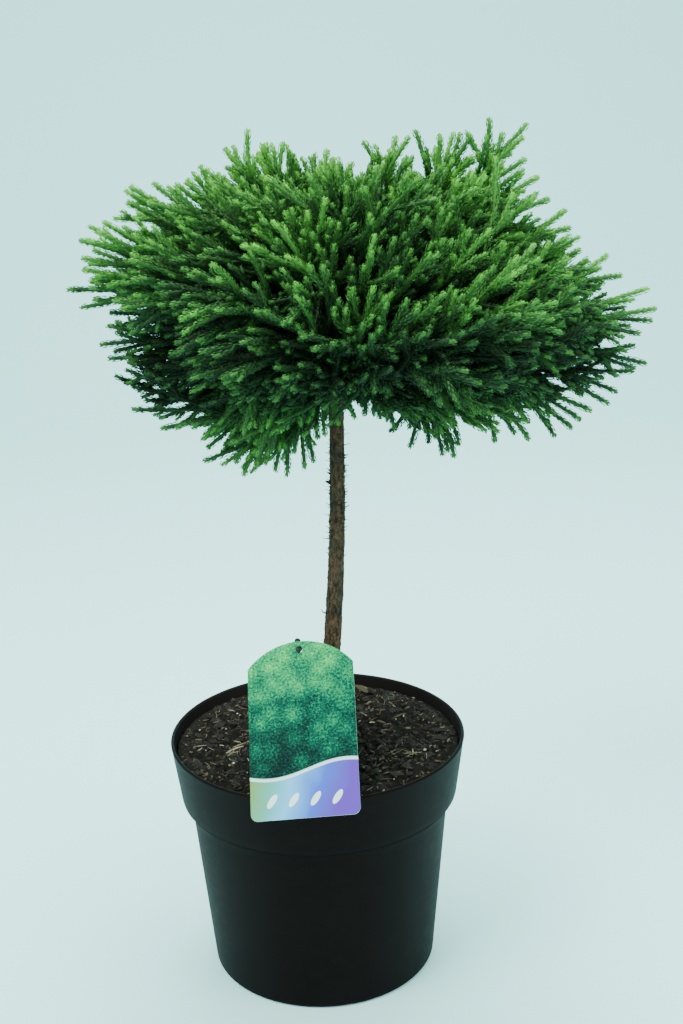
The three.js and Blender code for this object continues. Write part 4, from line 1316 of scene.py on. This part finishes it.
class CEDAR_OT_crown(bpy.types.Operator):
    """Grow the crown's limbs, twigs, sprays and needles from the boughs"""

    bl_idname = "cedar.crown"
    bl_label = "Crown"

    def execute(self, context):
        settings = context.scene.cedar_crown
        rng = np.random.default_rng(settings.seed)
        names, middles, heights = mass_middles()
        axes, long, lift, kind = main_axes(rng, settings)
        mass = np.linalg.norm(axes[2][:, None] - middles[None], axis=-1).argmin(axis=1)

        right = ease(axes[2][:, 0], 0.0, 0.12)
        spacing, growth, opening, closing, flatness = mix(*np.array(SIDE_SHOOTS)[..., None], right)
        first, last = np.where(kind == INNER, 0.2, 0.12), np.where(kind == LEADING, 0.55, 0.84)
        spacing = spacing * np.where(kind == INNER, 1.6, 1.0)
        growth = growth * np.where(kind == LEADING, mix(0.92, 0.74, right), 1)
        opening, closing = np.radians([opening, closing])
        sides, side_long, owner = side_shoots(
            rng, axes, long, first, last, spacing, (0.01, growth, 0.066), opening, closing, flatness
        )
        stout = side_long > 0.026
        inner = tuple(part[stout] for part in sides)
        fine, fine_long, fine_owner = side_shoots(
            rng, inner, side_long[stout], 0.3, 0.85, 0.03, (0.007, 0.3, 0.018), 0.7, 0.35, 0.9
        )
        lines = tuple(np.concatenate(parts) for parts in zip(axes, sides, fine))
        sizes = np.concatenate([long, side_long, fine_long])
        girth = np.repeat([1.04, 1.0, 0.85], [len(long), len(side_long), len(fine_long)])
        spray = np.concatenate([np.arange(len(long)), owner, owner[stout][fine_owner]])
        covered = np.minimum(1, COVERED_RUN / sizes)
        weight = sizes * covered * np.where(kind[spray] == INNER, 0.5, 1.0)
        number = np.round(weight / weight.sum() * settings.needles).astype(int).clip(9)

        corners, shoot, left, rise = needles_on(rng, lines, covered, number, girth, settings)
        tone, base = tones(rng, lines, spray, shoot, left, rise, lift, kind, corners[:, 0])
        materials = [plain_material(name, colour, 0.62, 0.12) for name, colour in LADDER]
        for material in materials:
            Weaver(material.node_tree).shade(Specular_Tint=(0.9, 1, 0.75, 1))
        place_needles(names, mass[spray[shoot]], corners, tone, materials)
        place_shoots(lines, sizes, covered, base, materials)
        place_twigs(mass, axes, middles, heights)
        return {"FINISHED"}


# ---------------------------------------------------------------- label


def placed(points):
    """Points of the label's plane (x across, y up it, z out of its face) in the plant's frame."""
    spin, turn = Matrix.Rotation(LABEL_SPIN, 4, "Z"), Matrix.Rotation(LABEL_TURN, 4, "Z")
    lean = Matrix.Rotation(math.pi / 2 - LABEL_LEAN, 4, "X")
    m = np.array(Matrix.Translation(LABEL_FOOT) @ turn @ lean @ spin)
    return points @ m[:3, :3].T + m[:3, 3]


def label_outline(settings, steps):
    """The label's edge, counter-clockwise from its lower right: rounded lower corners, straight sides and an
    arch."""
    half = settings.width / 2
    radius = (half**2 + settings.arch**2) / (2 * settings.arch)
    spread = math.asin(half / radius)
    crest = settings.side + settings.arch
    right = [half - CARD_CORNER, CARD_CORNER] + CARD_CORNER * circle(np.linspace(-math.pi / 2, 0, steps))
    arch = circle(np.linspace(math.pi / 2 - spread, math.pi / 2 + spread, steps * 4))
    arch = [0, crest - radius] + radius * arch
    left = right[::-1] * [-1, 1]
    sides = np.linspace(right[-1], arch[0], 12)[1:-1]
    foot = np.linspace(left[-1], right[0], 12)[1:-1]
    return np.vstack([right, sides, arch, sides[::-1] * [-1, 1], left, foot])


def label_card(settings, hole_height):
    """The card as a mesh: rings from the hole's edge out to the outline, on its face and on its back, joined
    by the outer rim and the hole's bore."""
    edge = label_outline(settings, 12)
    bearing = np.arctan2(edge[:, 1] - hole_height, edge[:, 0])
    hole = [0, hole_height] + CARD_HOLE * circle(bearing)
    rows = np.array([0, 0.05, 0.15, 0.3, 0.5, 0.7, 0.85, 0.95, 1.0])
    flat = mix(hole[None], edge[None], rows[:, None, None]).reshape(-1, 2)
    n, columns = len(flat), len(edge)
    quads = grid_quads(len(rows), columns)
    around = np.arange(columns)
    beyond = (around + 1) % columns
    last = n - columns
    rim = np.stack([last + around, n + last + around, n + last + beyond, last + beyond], axis=-1)
    bore = np.stack([beyond, n + beyond, n + around, around], axis=-1)
    points = placed(np.vstack([raised(flat, 0.0), raised(flat, -settings.thickness)]))
    slots = np.repeat([0, 1], [len(quads), len(quads) + len(rim) + len(bore)])
    uv = np.vstack([flat, flat]) / settings.width + [0.5, 0]
    faces = [quads[:, ::-1], quads + n, rim, bore]
    return fill_mesh("plant_label", points, faces, slots, smooth_faces=False, uv=uv)


def label_pin(hole_height):
    """The pin: a stem that leans in the soil, a peg from it through the card's hole, and a rounded knob on
    each."""
    behind, front = placed(np.array([[-0.003, hole_height, -0.013], [0, hole_height, 0.0024]]))
    foot = np.array([behind[0] + 0.006, behind[1] + 0.008, 0.167])
    rise = unit(behind - foot)
    knob = behind + rise * 0.013
    stem, peg = np.linspace(foot, knob, 24)[None], np.linspace(behind, front, 8)[None]
    parts = [tubes(stem, PIN_RADIUS, 20), tubes(peg, PEG_RADIUS, 20)]
    a = np.linspace(-math.pi / 2 + 0.05, math.pi / 2 - 0.05, 14)
    for middle, axis, thick in ((knob, rise, 1.0), (front, unit(front - behind), 0.45)):
        path = middle + axis * (np.sin(a) * KNOB_RADIUS * thick)[:, None]
        parts.append(tubes(path[None], np.cos(a) * KNOB_RADIUS, 24))
    return fill_mesh("label_pin_black", *joined(parts))


class CEDAR_OT_label(bpy.types.Operator):
    """Make the plant label with its print, and the pin that holds it"""

    bl_idname = "cedar.label"
    bl_label = "Label and pin"

    def execute(self, context):
        settings = context.scene.cedar_label
        hole_height = settings.side + settings.arch - HOLE_DROP
        card = label_card(settings, hole_height)
        place_piece(card, [label_material(), card_material()], "label", "label")
        place_piece(label_pin(hole_height), [pin_material()], "pin", "label_pin")
        return {"FINISHED"}


# ---------------------------------------------------------------- stage

# The air's colour and strength, and the soft lights: name, place, the height on the axis that they look at,
# size, power and colour.
AIR_COLOUR, AIR_STRENGTH = (0.7, 1.0, 0.97, 1), 1.2
LIGHTS = (
    ("key_light", (-1.2, -1.2, 2.6), 0.5, 1.4, 86, (0.97, 1.0, 0.98)),
    ("fill_light", (1.9, -1.2, 1.5), 0.45, 1.6, 30, (0.93, 1.0, 1.0)),
    ("top_light", (0.2, 0.6, 2.6), 0.5, 1.6, 98, (0.96, 1.0, 0.99)),
    ("front_light", (-0.5, -2.3, 0.65), 0.5, 1.0, 9, (0.98, 1.0, 0.98)),
)

SENSOR_WIDTH = 36


def studio_floor():
    """The floor and the wall behind it as one sheet: level, then a quarter round, then upright."""
    bend = np.linspace(0.1, math.pi / 2, 14)
    run = np.concatenate([np.linspace(-4, 2.0, 12), 2.0 + 1.2 * np.sin(bend), [3.2]])
    rise = np.concatenate([np.zeros(12), 1.2 - 1.2 * np.cos(bend), [4.5]])
    wide = np.linspace(-5, 5, 9)
    points = np.stack(np.broadcast_arrays(wide[None], run[:, None], rise[:, None]), axis=-1)
    return fill_mesh("studio_floor", points.reshape(-1, 3), [grid_quads(len(run), len(wide), closed=False)])


def stand(name, data, x, y, z, origin):
    """Puts a camera or light into the scene with its axes and its origin."""
    item = bpy.data.objects.new(name, data)
    item.matrix_world = Matrix([[x[i], y[i], z[i], origin[i]] for i in range(3)] + [[0, 0, 0, 1]])
    bpy.context.scene.collection.objects.link(item)
    return item


class CEDAR_OT_stage(bpy.types.Operator):
    """Set up the pale floor, the soft lights and the camera"""

    bl_idname = "cedar.stage"
    bl_label = "Stage"

    def execute(self, context):
        settings = context.scene.cedar_stage
        scene = context.scene
        mesh = studio_floor()
        mesh.materials.append(plain_material("floor_paint", settings.floor_colour, 0.9, 0.1))
        floor = bpy.data.objects.new(mesh.name, mesh)
        scene.collection.objects.link(floor)

        world = bpy.data.worlds.new("studio_air")
        world.use_nodes = True
        air = world.node_tree.nodes["Background"].inputs
        air["Color"].default_value, air["Strength"].default_value = AIR_COLOUR, AIR_STRENGTH
        scene.world = world
        for name, place, aim, size, power, colour in LIGHTS:
            light = bpy.data.lights.new(name, "AREA")
            light.shape = "DISK"
            light.size, light.energy, light.color = size, power, colour
            away = unit(np.array(place) - [0, 0, aim])
            across = unit(np.cross([0, 0, 1.0], away))
            stand(name, light, across, np.cross(away, across), away, place)

        camera = bpy.data.cameras.new("view")
        camera.lens = settings.lens
        camera.sensor_width = SENSOR_WIDTH
        camera.sensor_fit = "AUTO"
        camera.clip_end = 50
        cp, sp = circle(settings.pitch)
        cy, sy = circle(settings.yaw)
        cr, sr = circle(settings.roll)
        ahead = np.array([sy * cp, cy * cp, -sp])
        level = np.array([cy, -sy, 0.0])
        up = np.cross(level, ahead)
        origin = (0, -settings.distance, settings.eye)
        scene.camera = stand("view", camera, cr * level + sr * up, cr * up - sr * level, -ahead, origin)
        return {"FINISHED"}


# ---------------------------------------------------------------- add-on


# The operators in the order of making, each with the class of its settings.
PIECES = (
    (CEDAR_OT_stage, StageSettings),
    (CEDAR_OT_pot, PotSettings),
    (CEDAR_OT_soil, SoilSettings),
    (CEDAR_OT_bark, BarkSettings),
    (CEDAR_OT_crown, CrownSettings),
    (CEDAR_OT_label, LabelSettings),
)


def settings_name(operator):
    """The name on the scene of an operator's settings: cedar_pot for cedar.pot."""
    return operator.bl_idname.replace(".", "_")


class CEDAR_PT_panel(bpy.types.Panel):
    """Lists the pieces of the cedar and their settings"""

    bl_idname = "CEDAR_PT_panel"
    bl_label = "Potted Cedar"
    bl_space_type = "VIEW_3D"
    bl_region_type = "UI"
    bl_category = "Cedar"

    def draw(self, context):
        for operator, settings in PIECES:
            box = self.layout.box()
            box.operator(operator.bl_idname)
            for key in settings.__annotations__:
                box.prop(getattr(context.scene, settings_name(operator)), key)


def register():
    for operator, settings in PIECES:
        bpy.utils.register_class(settings)
        bpy.utils.register_class(operator)
        setattr(bpy.types.Scene, settings_name(operator), PointerProperty(type=settings))
    bpy.utils.register_class(CEDAR_PT_panel)


def unregister():
    bpy.utils.unregister_class(CEDAR_PT_panel)
    for operator, settings in reversed(PIECES):
        delattr(bpy.types.Scene, settings_name(operator))
        bpy.utils.unregister_class(operator)
        bpy.utils.unregister_class(settings)


def main():
    register()
    for operator, _ in PIECES:
        module, name = operator.bl_idname.split(".")
        getattr(getattr(bpy.ops, module), name)()
    bpy.context.view_layer.update()


if __name__ == "__main__":
    main()
